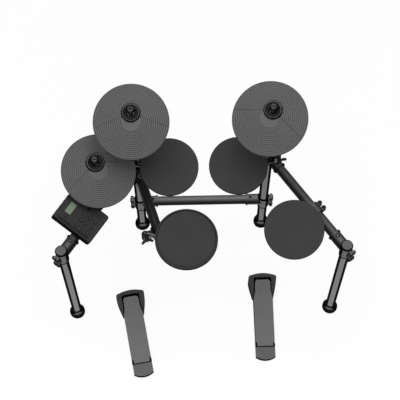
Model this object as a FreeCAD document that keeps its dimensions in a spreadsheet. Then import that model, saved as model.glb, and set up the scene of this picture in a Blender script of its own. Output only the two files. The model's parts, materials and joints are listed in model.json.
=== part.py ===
import FreeCAD, Part
import math
import os
import re
import Sketcher

# Electronic drum kit on a folding tube rack: three cymbal pads, four drum pads, a sound module and two
# floor pedals. Millimetres, +Z up, origin on the floor under the middle of the kit's box. The player
# sits on the -Y side.

Vector = FreeCAD.Vector
Rotation = FreeCAD.Rotation
Placement = FreeCAD.Placement
X_AXIS = Vector(1, 0, 0)
Y_AXIS = Vector(0, 1, 0)
Z_AXIS = Vector(0, 0, 1)

doc = FreeCAD.newDocument("drum_kit")

# Driving dimensions
DIMENSIONS = {
    "layout_shift_y": 82.4,  # rack centre to the middle of the kit's box
    "fit_gap": 0.2,  # round a piece that is clamped or pushed in
    "swing_gap": 0.3,  # round a piece that turns
    "clear_gap": 2.0,  # between pieces that pass each other
    # rack tubes
    "tube_d": 35.0,
    "tube_wall": 1.5,
    "rear_leg_x": 231.0,
    "front_leg_x": 478.0,
    "leg_y": 179.0,
    "arm_z": 582.0,
    "cross_z": 212.0,
    "snare_arm_z": 504.0,
    "snare_arm_len": 296.0,
    "snare_arm_turn": 16.6,
    # rubber feet and leg caps
    "foot_d": 57.0,
    "foot_rim_h": 11.0,
    "foot_neck_d": 42.0,
    "foot_h": 44.0,
    "foot_floor": 8.0,
    "cap_d": 39.0,
    "cap_h": 5.0,
    "cap_plug": 14.0,
    # T-clamps
    "ring_d": 42.0,
    "ring_up": 27.0,
    "ring_down": 43.0,
    "sleeve_d": 41.0,
    "sleeve_reach": 66.0,
    "flange_w": 6.0,
    "flange_step": 2.5,
    "arm_stop": 23.0,
    # split lugs and their cross bolts
    "lug_out": 8.0,
    "lug_eye_d": 16.0,
    "lug_pair_w": 16.0,
    "split_w": 2.5,
    "cross_bolt_d": 6.0,
    "cross_head_d": 13.0,
    "cross_head_h": 6.0,
    "tee_bolt_span": 23.0,
    "clamp_bolt_span": 11.0,
    # wing bolts
    "bolt_d": 8.0,
    "wing_hub_d": 15.0,
    "wing_hub_h": 10.0,
    "wing_span": 44.0,
    "wing_h": 15.0,
    "wing_t": 5.0,
    # rod clamps on the tubes
    "clamp_d": 46.0,
    "clamp_len": 40.0,
    "rod_offset": 46.0,
    "eye_h": 30.0,
    "rod_d": 9.5,
    "post_d": 16.0,
    # sockets on top of the rear legs
    "socket_d": 46.0,
    "socket_h": 40.0,
    "socket_seat": 22.0,
    "lug_d": 27.0,
    # cymbal pads
    "cymbal_d": 250.0,
    "cymbal_edge_t": 5.0,
    "cymbal_t": 9.0,
    "cymbal_rise": 9.0,
    "cymbal_flat_d": 62.0,
    "cymbal_offset": 28.0,
    "bell_d": 64.0,
    "bell_h": 14.0,
    "bell_wall": 7.0,
    "ball_d": 20.0,
    "stud_d": 8.0,
    "nut_d": 26.0,
    "nut_h": 15.0,
    "felt_d": 24.0,
    "felt_t": 5.0,
    "nut_lift": 12.0,
    "pivot_z": 904.0,
    "hihat_pivot_z": 750.0,
    "post_depth": 60.0,
    "hihat_along": 156.0,
    "hihat_post_low": 60.0,
    "crash_tilt": 22.0,
    "ride_tilt": 20.0,
    "hihat_tilt": 18.0,
    # drum pads
    "pad_d": 200.0,
    "pad_t": 30.0,
    "head_t": 8.0,
    "head_round": 3.0,
    "shell_inset": 2.0,
    "shell_wall_h": 10.0,
    "shell_base_d": 118.0,
    "hub_drop": 46.0,
    "cheek_t": 8.0,
    "cheek_w": 20.0,
    "barrel_d": 18.0,
    "barrel_len": 34.0,
    "pin_d": 8.0,
    "neck_drop": 18.0,
    "rod_bend": 8.0,
    "rim_w": 6.5,
    "rim_rise": 3.5,
    "rim_depth": 18.0,
    "jack_boss_d": 18.0,
    "jack_boss_h": 7.0,
    "jack_d": 6.5,
    "tom_left_x": -114.0,
    "tom_right_x": 123.0,
    "tom_hub_y": 106.0,
    "tom_tilt": 14.0,
    "floor_tom_along": 262.0,
    "floor_tom_x": 302.0,
    "floor_tom_hub_y": -133.0,
    "floor_tom_tilt": 15.0,
    "snare_along": 262.0,
    "snare_x": -59.0,
    "snare_hub_y": -135.0,
    "snare_tilt": 4.0,
    # sound module
    "module_w": 115.0,
    "module_l": 155.0,
    "module_t": 38.0,
    "module_round": 9.0,
    "module_edge": 4.0,
    "module_along": 313.0,
    "module_out": 15.5,
    "module_tilt": 19.0,
    "module_hinge_drop": 52.0,
    "module_hinge_z": 617.0,
    "hinge_lug_w": 16.0,
    "hinge_lug_d": 16.0,
    "screen_w": 42.0,
    "screen_l": 23.0,
    "screen_t": 1.5,
    "screen_y": 43.5,
    "button_d": 12.5,
    "button_rise": 3.0,
    "button_dome": 1.6,
    "button_stem": 6.5,
    "button_pitch_x": 23.2,
    "button_pitch_y": 21.4,
    "button_row_y": -7.5,
    "button_well": 8.5,
    "power_x": -32.0,
    "power_y": 41.5,
    # pedals
    "pedal_len": 268.0,
    "heel_len": 56.0,
    "heel_bulge": 12.0,
    "heel_w": 73.0,
    "heel_h": 20.0,
    "plate_t": 5.0,
    "pedal_hinge_z": 19.0,
    "pedal_pin_d": 6.0,
    "lug_t": 6.0,
    "lug_r": 7.0,
    "board_w": 72.0,
    "board_toe_w": 56.0,
    "board_t": 7.0,
    "board_rise": 10.0,
    "tower_w": 106.0,
    "tower_tip_w": 79.0,
    "tower_len": 84.0,
    "tower_h": 70.0,
    "tower_tip_h": 20.0,
    "tower_front_t": 14.0,
    "tower_bow": 7.0,
    "tower_inner_w": 67.0,
    "bumper_d": 26.0,
    "bumper_h": 16.0,
    "kick_x": 226.0,
    "kick_y": -332.0,
    "kick_turn": 0.5,
    "hihat_pedal_x": -234.0,
    "hihat_pedal_y": -386.0,
    "hihat_pedal_turn": 9.7,
}

sheet = doc.addObject("Spreadsheet::Sheet", "dims")
for row, (alias, number) in enumerate(DIMENSIONS.items(), start=1):
    sheet.set(f"A{row}", alias)
    sheet.set(f"B{row}", str(number))
    sheet.setAlias(f"B{row}", alias)
doc.recompute()


def bind(text):
    """An expression in alias names, as the sheet's cells."""
    def cell(match):
        word = match.group(0)
        return f"dims.{word}" if word in DIMENSIONS else word
    return re.sub(r"[a-z]\w*", cell, str(text))


def size(text):
    """The value of an expression in alias names."""
    return float(sheet.evalExpression(bind(text)))


# Building blocks


def put(item, position=None, turn=None):
    """Place an object by a position and a rotation."""
    item.Placement = Placement(position or Vector(), turn or Rotation())
    return item


def cylinder(name, diameter, height, position=None, turn=None):
    item = doc.addObject("Part::Cylinder", name)
    item.setExpression("Radius", bind(f"({diameter}) / 2"))
    item.setExpression("Height", bind(height))
    return put(item, position, turn)


def box(name, length, width, height, position=None, turn=None):
    """A box centred in X and Y on its position, and standing on it."""
    item = doc.addObject("Part::Box", name)
    for side, text in (("Length", length), ("Width", width), ("Height", height)):
        item.setExpression(side, bind(text))
    turn = turn or Rotation()
    corner = Vector(-size(length) / 2, -size(width) / 2, 0)
    return put(item, (position or Vector()) + turn.multVec(corner), turn)


def ball(name, diameter, position):
    item = doc.addObject("Part::Sphere", name)
    item.setExpression("Radius", bind(f"({diameter}) / 2"))
    return put(item, position)


def fuse(name, pieces):
    item = doc.addObject("Part::MultiFuse", name)
    item.Shapes = pieces
    item.Refine = True
    return item


def cut(name, base, tools):
    item = doc.addObject("Part::Cut", name)
    item.Base = base
    item.Tool = tools[0] if len(tools) == 1 else fuse(f"{name}_tools", tools)
    return item


def group(name, pieces):
    """Several separate solids that share one node."""
    item = doc.addObject("Part::Compound", name)
    item.Links = pieces
    return item


def arc_between(start, end, radius):
    """The short arc from start to end: to the left of the chord for a radius over zero."""
    chord = end - start
    half = chord.Length / 2
    side = math.copysign(1, radius)
    normal = Vector(-chord.y, chord.x, 0).normalize() * side
    centre = start + chord * 0.5 + normal * math.sqrt(max(radius * radius - half * half, 0))
    first, last = (start, end) if side > 0 else (end, start)
    angles = [math.atan2(p.y - centre.y, p.x - centre.x) for p in (first, last)]
    return Part.ArcOfCircle(Part.Circle(centre, Z_AXIS, abs(radius)), *angles)


def draw(sketch, outline, closed=True):
    """Draw an outline of (x, y) points, held to the sheet. A third value is the radius of the arc
    to the next point, over zero where it turns left."""
    corners = [Vector(size(p[0]), size(p[1]), 0) for p in outline]
    count = len(outline) if closed else len(outline) - 1
    starts = []
    for i in range(count):
        a, b = corners[i], corners[(i + 1) % len(corners)]
        radius = size(outline[i][2]) if len(outline[i]) > 2 else 0
        edge = arc_between(a, b, radius) if radius else Part.LineSegment(a, b)
        number = sketch.addGeometry(edge, False)
        starts.append((number, 1, 2) if radius >= 0 else (number, 2, 1))
        if radius:
            row = sketch.addConstraint(Sketcher.Constraint("Radius", number, abs(radius)))
            sketch.setExpression(f"Constraints[{row}]", bind(f"abs({outline[i][2]})"))
    for i, (number, first, last) in enumerate(starts):
        if closed or i + 1 < count:
            after, after_first, _ = starts[(i + 1) % count]
            sketch.addConstraint(Sketcher.Constraint("Coincident", number, last, after, after_first))
    ends = [(number, first) for number, first, _ in starts]
    if not closed:
        ends.append((starts[-1][0], starts[-1][2]))
    for (number, point), corner, texts in zip(ends, corners, outline):
        for kind, text, value in (("DistanceX", texts[0], corner.x), ("DistanceY", texts[1], corner.y)):
            row = sketch.addConstraint(Sketcher.Constraint(kind, -1, 1, number, point, value))
            sketch.setExpression(f"Constraints[{row}]", bind(text))


def ring_line(sketch, x, y, diameter):
    """Draw a circle, held to the sheet."""
    circle = Part.Circle(Vector(size(x), size(y), 0), Z_AXIS, size(diameter) / 2)
    number = sketch.addGeometry(circle, False)
    row = sketch.addConstraint(Sketcher.Constraint("Diameter", number, size(diameter)))
    sketch.setExpression(f"Constraints[{row}]", bind(diameter))
    for kind, text in (("DistanceX", x), ("DistanceY", y)):
        row = sketch.addConstraint(Sketcher.Constraint(kind, -1, 1, number, 3, size(text)))
        sketch.setExpression(f"Constraints[{row}]", bind(text))


def sketch_in(body, name, role, offset=None):
    plane = next(f for f in body.Origin.OriginFeatures if f.Role == role)
    sketch = body.newObject("Sketcher::SketchObject", name)
    sketch.AttachmentSupport = [(plane, "")]
    sketch.MapMode = "FlatFace"
    if offset is not None:
        sketch.AttachmentOffset = Placement(Vector(0, 0, offset), Rotation())
    return sketch


def turned(name, outline, position=None, turn=None):
    """A body turned about its Z axis from an outline of (radius, height) points."""
    body = doc.addObject("PartDesign::Body", name)
    sketch = sketch_in(body, f"{name}_outline", "XZ_Plane")
    draw(sketch, outline)
    lathe = body.newObject("PartDesign::Revolution", f"{name}_turning")
    lathe.Profile = sketch
    lathe.ReferenceAxis = (sketch, ["V_Axis"])
    lathe.Angle = 360
    return put(body, position, turn)


def extruded(name, outline, length, position=None, turn=None, rings=()):
    """A body of an outline or of rings in its XY plane, raised along Z."""
    body = doc.addObject("PartDesign::Body", name)
    sketch = sketch_in(body, f"{name}_outline", "XY_Plane")
    if outline:
        draw(sketch, outline)
    for x, y, diameter in rings:
        ring_line(sketch, x, y, diameter)
    pad = body.newObject("PartDesign::Pad", f"{name}_pad")
    pad.Profile = sketch
    pad.setExpression("Length", bind(length))
    return put(body, position, turn)


def bent_rod(name, path, start_height, diameter, position, turn):
    """A round rod along a path of (x, z) points that starts straight up or down."""
    body = doc.addObject("PartDesign::Body", name)
    spine = sketch_in(body, f"{name}_path", "XZ_Plane")
    draw(spine, path, closed=False)
    section = sketch_in(body, f"{name}_section", "XY_Plane", start_height)
    ring_line(section, "0", "0", diameter)
    pipe = body.newObject("PartDesign::AdditivePipe", f"{name}_pipe")
    pipe.Profile = section
    pipe.Spine = spine
    return put(body, position, turn)


def along(axis):
    """The turn that takes +Z to an axis."""
    return Rotation(Z_AXIS, axis)


def framed(x_dir, z_dir):
    """The turn whose X and Z axes are these."""
    return Rotation(x_dir, z_dir.cross(x_dir), z_dir, "ZXY")


def facing(turn_deg, tilt_deg):
    """A piece tilted towards the player, then turned about the vertical."""
    return Rotation(Z_AXIS, turn_deg).multiply(Rotation(X_AXIS, tilt_deg))


def at(x, y, z):
    """A point of the rack's own layout, in the kit's frame."""
    return Vector(x, y + size("layout_shift_y"), z)


# Rack layout
SIDES = {"left": -1, "right": 1}
ARM_Z = size("arm_z")
rear = {side: at(sign * size("rear_leg_x"), size("leg_y"), 0) for side, sign in SIDES.items()}
front = {side: at(sign * size("front_leg_x"), -size("leg_y"), 0) for side, sign in SIDES.items()}
arm_dir = {side: (front[side] - rear[side]).normalize() for side in SIDES}
outward = {side: Z_AXIS.cross(arm_dir[side]) * sign for side, sign in SIDES.items()}
inward = {"left": X_AXIS, "right": -X_AXIS}
snare_dir = Rotation(Z_AXIS, size("snare_arm_turn")).multVec(-Y_AXIS)
snare_side = snare_dir.cross(Z_AXIS)
FOOT_FLOOR = size("foot_floor")
LEG_TOP = size("arm_z + ring_up")
SOCKET_Z = size("arm_z + ring_up + clear_gap")
REAR_TOP = SOCKET_Z + size("socket_seat")
ARM_SPAN = "sqrt((front_leg_x - rear_leg_x) ^ 2 + 4 * leg_y ^ 2)"
# A tom's rod runs level between the arm's sleeve and the socket's lug above it
RUN_Z = size("arm_z + sleeve_d / 2 + flange_step + rod_d / 2 + clear_gap")
LUG_LIFT = RUN_Z + size("rod_d / 2 + clear_gap") - SOCKET_Z
SOCKET_BOLT_Z = size("(socket_seat + socket_h) / 2")
BOLT_BORE = "bolt_d + 2 * fit_gap"
FLAT = Rotation(Y_AXIS, 90)
UPRIGHT = Rotation(X_AXIS, 90)
TEE_MIDDLE = size("(ring_up - ring_down) / 2")


def on_arm(side, distance, out=0.0, z=ARM_Z):
    """A point by a side arm: its distance from the rear leg, then how far outside the arm."""
    return rear[side] + arm_dir[side] * distance + outward[side] * out + Z_AXIS * z


def tube(name, start, direction, length):
    rings = [("0", "0", "tube_d"), ("0", "0", "tube_d - 2 * tube_wall")]
    return extruded(name, None, length, start, along(direction), rings)


def foot(name, position):
    """A flared rubber foot that the leg stands in."""
    bore = "tube_d / 2 + fit_gap"
    neck, rim = "foot_neck_d / 2", "foot_d / 2"
    return turned(name, [
        ("0", "0"), (f"{rim} - 2.5", "0"), (rim, "2.5"), (rim, "foot_rim_h", "-(foot_h - foot_rim_h)"),
        (neck, "foot_h - 8"), (neck, "foot_h - 1.5"), (f"{neck} - 1.5", "foot_h"), (bore, "foot_h"),
        (bore, "foot_floor"), ("0", "foot_floor")], position)


def leg_cap(name, position):
    """A plastic plug with a flat round head."""
    plug = "tube_d / 2 - tube_wall - fit_gap"
    return turned(name, [
        ("0", "-cap_plug"), (f"{plug} - 1.5", "-cap_plug"), (plug, "1.5 - cap_plug"), (plug, "0"),
        ("cap_d / 2", "0"), ("cap_d / 2", "cap_h - 1.5", "1.5"), ("cap_d / 2 - 1.5", "cap_h"),
        ("0", "cap_h")], position)


def wing_bolt(name, shank, seat, axis, wings):
    """A wing bolt: its head stands on seat towards axis, with its two wings along wings."""
    turn = framed(wings, axis)
    half, hub, root = "wing_span / 2", "wing_hub_d / 2", "bolt_d / 2"
    plate = extruded(f"{name}_wings", [
        (f"-{half}", "wing_h - 4", "-5"), (f"-{half} + 6", "wing_h"), (f"-{hub} + 1", "wing_hub_h - 1"),
        (f"{hub} - 1", "wing_hub_h - 1"), (f"{half} - 6", "wing_h", "-5"), (half, "wing_h - 4"),
        (f"{half} - 5", "5", "-8"), (f"{half} - 11", "2"), (f"-{half} + 11", "2", "-8"),
        (f"-{half} + 5", "5")],
        "wing_t", seat + turn.multVec(Y_AXIS) * size("wing_t / 2"), turn.multiply(UPRIGHT))
    head = turned(f"{name}_head", [
        ("0", f"-({shank})"), (f"{root} - 0.8", f"-({shank})"), (root, f"0.8 - ({shank})"), (root, "0"),
        (hub, "0"), (f"{hub} - 1.5", "wing_hub_h - 2", "2"), (f"{hub} - 3.5", "wing_hub_h"),
        ("0", "wing_hub_h")], seat, turn)
    return fuse(name, [head, plate])


def lug_points(origin, turn, ring, span, middle=0.0):
    """The middles of a clamp's two cross bolts, on its -X side."""
    return [origin + turn.multVec(Vector(-size(f"{ring} / 2 + lug_out"), 0, middle + sign * size(span)))
            for sign in (-1, 1)]


def lugs(name, points, turn):
    """Rounded lugs that stand out from a clamp's ring, one at each cross bolt."""
    pieces = []
    for number, point in enumerate(points, start=1):
        near = point + turn.multVec(Vector(0, size("lug_pair_w / 2"), 0))
        root = point + turn.multVec(Vector(size("lug_out / 2 + 2"), 0, -size("lug_eye_d / 2")))
        pieces.append(cylinder(f"{name}_eye_{number}", "lug_eye_d", "lug_pair_w", near,
                               turn.multiply(UPRIGHT)))
        pieces.append(box(f"{name}_root_{number}", "lug_out + 4", "lug_pair_w", "lug_eye_d", root, turn))
    return pieces


def split(name, points, turn, ring, height):
    """The slit through a clamp's ring and lugs, and the bores of its cross bolts."""
    middle = (points[0] + points[1]) * 0.5 - turn.multVec(Z_AXIS) * size(f"({height}) / 2 + 1")
    tools = [box(f"{name}_slit", f"{ring} / 2 + lug_eye_d", "split_w", f"{height} + 2", middle, turn)]
    for number, point in enumerate(points, start=1):
        near = point + turn.multVec(Vector(0, size("lug_pair_w"), 0))
        tools.append(cylinder(f"{name}_bolt_bore_{number}", "cross_bolt_d + 2 * fit_gap",
                              "2 * lug_pair_w", near, turn.multiply(UPRIGHT)))
    return tools


def cross_bolts(name, points, turn):
    """The bolts that pull a split clamp together: a domed head on one side, a six-sided nut on the other."""
    side = turn.multiply(UPRIGHT)
    root, head = "cross_bolt_d / 2", "cross_head_d / 2"
    seat, end = "lug_pair_w / 2", "lug_pair_w / 2 + cross_head_h"
    corners = [(math.cos(math.radians(60 * k)), math.sin(math.radians(60 * k))) for k in range(6)]
    hexagon = [(f"{x:.6f} * {head}", f"{y:.6f} * {head}") for x, y in corners]
    bolts = []
    for number, point in enumerate(points, start=1):
        shank = turned(f"{name}_shank_{number}", [
            ("0", f"-({end}) - 2"), (root, f"-({end}) - 2"), (root, seat), (head, seat),
            (head, f"{end} - 4", "4"), (f"{head} - 4", end), ("0", end)], point, side)
        under = point + side.multVec(Z_AXIS) * -size(end)
        nut = extruded(f"{name}_nut_{number}", hexagon, "cross_head_h", under, side)
        bolts.append(fuse(f"{name}_{number}", [shank, nut]))
    return bolts


def tee(name, origin, direction):
    """A T-clamp: a ring round an upright tube and a flanged sleeve for the tube that leaves it."""
    turn = framed(direction, Z_AXIS)
    out = turn.multiply(FLAT)
    low = origin - Z_AXIS * size("ring_down")
    flange_at = origin + direction * size("sleeve_reach - flange_w")
    points = lug_points(origin, turn, "ring_d", "tee_bolt_span", TEE_MIDDLE)
    body = fuse(f"{name}_body", [
        cylinder(f"{name}_ring", "ring_d", "ring_up + ring_down", low, turn),
        cylinder(f"{name}_sleeve", "sleeve_d", "sleeve_reach", origin, out),
        cylinder(f"{name}_flange", "sleeve_d + 2 * flange_step", "flange_w", flange_at, out)]
        + lugs(f"{name}_lug", points, turn))
    stop = origin + direction * size("arm_stop")
    return cut(name, body, [
        cylinder(f"{name}_leg_bore", "tube_d + 2 * swing_gap", "2 * (ring_up + ring_down)",
                 low - Z_AXIS * size("ring_up")),
        cylinder(f"{name}_arm_bore", "tube_d + 2 * fit_gap", "sleeve_reach", stop, out)]
        + split(name, points, turn, "ring_d", "ring_up + ring_down"))


def tee_bolts(name, origin, direction):
    turn = framed(direction, Z_AXIS)
    return cross_bolts(name, lug_points(origin, turn, "ring_d", "tee_bolt_span", TEE_MIDDLE), turn)


def rod_clamp(name, origin, tube_dir, rod_side, rod_size):
    """A split clamp round a level tube, with an eye beside it that holds an upright rod."""
    turn = framed(rod_side, tube_dir)
    low = origin - tube_dir * size("clamp_len / 2")
    points = lug_points(origin, turn, "clamp_d", "clamp_bolt_span")
    rod_at = origin + rod_side * size("rod_offset")
    eye_top = rod_at + turn.multVec(Y_AXIS) * size("eye_h / 2")
    web_at = origin + rod_side * size("rod_offset / 2") - tube_dir * size("lug_d / 2 - 3")
    body = fuse(f"{name}_body", [
        cylinder(f"{name}_ring", "clamp_d", "clamp_len", low, turn),
        cylinder(f"{name}_eye", "lug_d", "eye_h", eye_top, turn.multiply(UPRIGHT)),
        box(f"{name}_web", "rod_offset", "eye_h - 6", "lug_d - 6", web_at, turn)]
        + lugs(f"{name}_lug", points, turn))
    rod_top = rod_at + turn.multVec(Y_AXIS) * size("clamp_d")
    return cut(name, body, [
        cylinder(f"{name}_tube_bore", "tube_d + 2 * fit_gap", "2 * clamp_len",
                 low - tube_dir * size("clamp_len / 2"), turn),
        cylinder(f"{name}_rod_bore", f"{rod_size} + 2 * fit_gap", "2 * clamp_d", rod_top,
                 turn.multiply(UPRIGHT)),
        cylinder(f"{name}_screw_bore", BOLT_BORE, "lug_d", rod_at, turn)]
        + split(name, points, turn, "clamp_d", "clamp_len"))


def rod_clamp_bolts(name, origin, tube_dir, rod_side, rod_size):
    """The cross bolts that hold a rod clamp on its tube and the wing bolt that holds its rod."""
    turn = framed(rod_side, tube_dir)
    seat = origin + rod_side * size("rod_offset") + tube_dir * size("lug_d / 2")
    shank = f"(lug_d - ({rod_size})) / 2 - fit_gap"
    points = lug_points(origin, turn, "clamp_d", "clamp_bolt_span")
    return cross_bolts(f"{name}_bolt", points, turn) + [
        wing_bolt(f"{name}_rod_bolt", shank, seat, tube_dir, rod_side)]


def socket(name, leg, lug_dir):
    """The collar on top of a rear leg: it holds a cymbal post, and a pad's rod in its side lug."""
    turn = framed(lug_dir, Z_AXIS)
    side = turn.multiply(FLAT)
    base = leg + Z_AXIS * SOCKET_Z
    lug = base + lug_dir * size("rod_offset") + Z_AXIS * LUG_LIFT
    web = base + lug_dir * size("rod_offset / 2") + Z_AXIS * LUG_LIFT
    bolt_level = base + Z_AXIS * SOCKET_BOLT_Z
    post_bolt = bolt_level - lug_dir * size("socket_d")
    rod_bolt = bolt_level + lug_dir * size("rod_offset")
    edge = "socket_d / 2"
    body = fuse(f"{name}_body", [
        turned(f"{name}_collar", [
            ("0", "0"), (edge, "0"), (edge, "socket_h - 6", "6"), (f"{edge} - 6", "socket_h"),
            ("0", "socket_h")], base),
        cylinder(f"{name}_lug", "lug_d", f"socket_h - {LUG_LIFT}", lug),
        box(f"{name}_web", "rod_offset", "lug_d - 7", f"socket_h - {LUG_LIFT} - 4", web, turn)])
    return cut(name, body, [
        cylinder(f"{name}_leg_bore", "tube_d + 2 * fit_gap", "socket_seat", base),
        cylinder(f"{name}_post_bore", "post_d + 2 * fit_gap", "2 * socket_h", base),
        cylinder(f"{name}_rod_bore", "rod_d + 2 * fit_gap", "2 * socket_h",
                 lug - Z_AXIS * size("socket_h / 2")),
        cylinder(f"{name}_post_bolt_bore", BOLT_BORE, "socket_d", post_bolt, side),
        cylinder(f"{name}_rod_bolt_bore", BOLT_BORE, "lug_d", rod_bolt, side)])


def socket_bolts(name, leg, lug_dir):
    """The bolt on a socket's post and the one on its rod."""
    level = leg + Z_AXIS * (SOCKET_Z + SOCKET_BOLT_Z)
    across = Z_AXIS.cross(lug_dir)
    post_seat = level - lug_dir * size("socket_d / 2")
    rod_seat = level + lug_dir * size("rod_offset + lug_d / 2")
    return [wing_bolt(f"{name}_post_bolt", "(socket_d - post_d) / 2 - fit_gap", post_seat, -lug_dir, across),
            wing_bolt(f"{name}_rod_bolt", "(lug_d - rod_d) / 2 - fit_gap", rod_seat, lug_dir, across)]


def post(name, foot_point, pivot):
    """A cymbal's upright post, with its rubber ball at the pivot and the stud above it."""
    rise = pivot.z - foot_point.z
    neck, end = f"{rise} - ball_d", f"{rise} + nut_lift + felt_t + nut_h + 4"
    shaft = turned(f"{name}_shaft", [
        ("0", "0"), ("post_d / 2", "0"), ("post_d / 2", neck, "2"), ("post_d / 2 - 2", f"{neck} + 2"),
        ("stud_d / 2", f"{neck} + 2"), ("stud_d / 2", end), ("0", end)], foot_point)
    return fuse(name, [shaft, ball(f"{name}_ball", "ball_d", pivot)])


def post_nut(name, pivot):
    """The felt washer and the winged nut that keep a cymbal on its stud."""
    bore, edge, felt_edge = "stud_d / 2 + fit_gap", "nut_d / 2", "felt_d / 2"
    felt_at = pivot + Z_AXIS * size("nut_lift")
    nut_at = felt_at + Z_AXIS * size("felt_t")
    felt = turned(f"{name}_felt", [
        (bore, "0"), (f"{felt_edge} - 1", "0"), (felt_edge, "1"), (felt_edge, "felt_t - 1"),
        (f"{felt_edge} - 1", "felt_t"), (bore, "felt_t")], felt_at)
    knob = turned(f"{name}_knob", [
        (bore, "0"), (edge, "0"), (f"{edge} - 2", "nut_h - 3", "3"), (f"{edge} - 5", "nut_h"),
        (bore, "nut_h")], nut_at)
    wings = extruded(f"{name}_nut_wings", [
        (f"-{edge} - 5", "nut_h - 1", "-4"), (f"-{edge} - 1", "nut_h + 1"), (f"-{edge} + 3", "4"),
        (f"{edge} - 3", "4"), (f"{edge} + 1", "nut_h + 1", "-4"), (f"{edge} + 5", "nut_h - 1"),
        (f"{edge} + 2", "2"), (f"-{edge} - 2", "2")], "wing_t", nut_at + Y_AXIS * size("wing_t / 2"), UPRIGHT)
    hole = cylinder(f"{name}_nut_bore", "stud_d + 2 * fit_gap", "3 * nut_h", nut_at - Z_AXIS * size("nut_h"))
    return [felt, cut(f"{name}_winged_nut", fuse(f"{name}_nut_body", [knob, wings]), [hole])]


def cymbal(name, pivot, turn):
    """A cymbal pad: a shallow dome whose collared hole is set back from its centre."""
    edge, flat, low, high = "cymbal_d / 2", "cymbal_flat_d / 2", "-cymbal_t / 2", "cymbal_t / 2"
    bell, cup = "bell_d / 2", "bell_d / 2 - bell_wall"
    rim = f"{low} - cymbal_rise"
    centre = pivot - turn.multVec(Y_AXIS) * size("cymbal_offset")
    disc = turned(f"{name}_disc", [
        ("0", low), (flat, low), (f"{edge} - 6", rim), (edge, rim, "cymbal_edge_t"),
        (f"{edge} - 2", f"{rim} + cymbal_edge_t"), (flat, high), ("0", high)], centre, turn)
    collar = turned(f"{name}_collar", [
        ("0", low), (bell, f"{low} - 2"), (bell, "bell_h - 4", "4"), (f"{bell} - 4", "bell_h"),
        (cup, "bell_h"), (f"{cup} - 2", high), ("0", high)], pivot, turn)
    under = pivot - turn.multVec(Z_AXIS) * size("2 * cymbal_t")
    hole = cylinder(f"{name}_hole", "ball_d + 2 * swing_gap", "4 * cymbal_t", under, turn)
    return cut(name, fuse(f"{name}_body", [disc, collar]), [hole])


def pad_top(hub, turn):
    """The middle of a pad's playing face, from the middle of its tilting joint."""
    return hub + turn.multVec(Z_AXIS) * size("hub_drop")


def pad_head(name, top, turn):
    edge = "pad_d / 2"
    return turned(name, [
        ("0", "-head_t"), (f"{edge} - 1", "-head_t"), (edge, "1 - head_t"),
        (edge, "-head_round", "head_round"), (f"{edge} - head_round", "0"), ("0", "0")], top, turn)


def pad_shell(name, top, turn):
    """A pad's housing: a dish under the head, with two cheeks for the tilting joint and a jack."""
    wall, base = "pad_d / 2 - shell_inset", "shell_base_d / 2"
    skirt = "-head_t - shell_wall_h"
    flat = turn.multiply(FLAT)

    def local(x, y, z):
        return top + turn.multVec(Vector(x, y, z))
    drop = -size("hub_drop")
    pieces = [turned(f"{name}_dish", [
        ("0", "-pad_t"), (f"{base} - 4", "-pad_t", "4"), (base, "4 - pad_t"), (base, "6 - pad_t"),
        (f"{wall} - 6", skirt, "12"), (wall, f"{skirt} + 5"), (wall, "-head_t"), ("0", "-head_t")],
        top, turn)]
    for side, sign in (("near", -1), ("far", 1)):
        middle = sign * size("barrel_len / 2 + swing_gap + cheek_t / 2")
        eye = local(middle - size("cheek_t / 2"), 0, drop)
        cheek_h = "hub_drop - pad_t + 3"
        root = local(middle, 0, drop)
        pieces.append(box(f"{name}_{side}_cheek", "cheek_t", "cheek_w", cheek_h, root, turn))
        pieces.append(cylinder(f"{name}_{side}_eye", "cheek_w", "cheek_t", eye, flat))
    boss_at = local(0, size("shell_base_d / 2 - jack_boss_d"), -size("pad_t + jack_boss_h"))
    jack_at = boss_at - turn.multVec(Z_AXIS) * size("jack_boss_h")
    pieces.append(cylinder(f"{name}_jack_boss", "jack_boss_d", "jack_boss_h + 2", boss_at, turn))
    pin_at = local(-size("barrel_len"), 0, drop)
    return cut(name, fuse(f"{name}_body", pieces), [
        cylinder(f"{name}_pin_bore", "pin_d + 2 * swing_gap", "2 * barrel_len", pin_at, flat),
        cylinder(f"{name}_jack", "jack_d", "3 * jack_boss_h", jack_at, turn)])


def pad_rod(name, holder, end_z, hub, turn):
    """A pad's rod: upright in its holder, level to under the pad, then up to the joint's barrel."""
    run = Vector(hub.x - holder.x, hub.y - holder.y, 0)
    level = hub.z - size("neck_drop")
    reach = run.Length
    first = end_z - level
    bend = size("rod_bend")
    lift = math.copysign(bend, first)
    path = [
        ("0", f"{first}"), ("0", f"{lift}", f"{lift}"), (f"{bend}", "0"), (f"{reach - bend}", "0", f"{bend}"),
        (f"{reach}", f"{bend}"), (f"{reach}", "neck_drop - barrel_d / 4")]
    corner = Vector(holder.x, holder.y, level)
    rod = bent_rod(f"{name}_bend", path, first, "rod_d", corner, framed(run.normalize(), Z_AXIS))
    half, end = "barrel_len / 2", "barrel_len / 2 + cheek_t + swing_gap"
    thin, thick = "pin_d / 2", "barrel_d / 2"
    barrel = turned(f"{name}_barrel", [
        ("0", f"-({end})"), (thin, f"-({end})"), (thin, f"-{half}"), (thick, f"-{half}"), (thick, half),
        (thin, half), (thin, end), ("0", end)], hub, turn.multiply(FLAT))
    return fuse(name, [rod, barrel])


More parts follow.
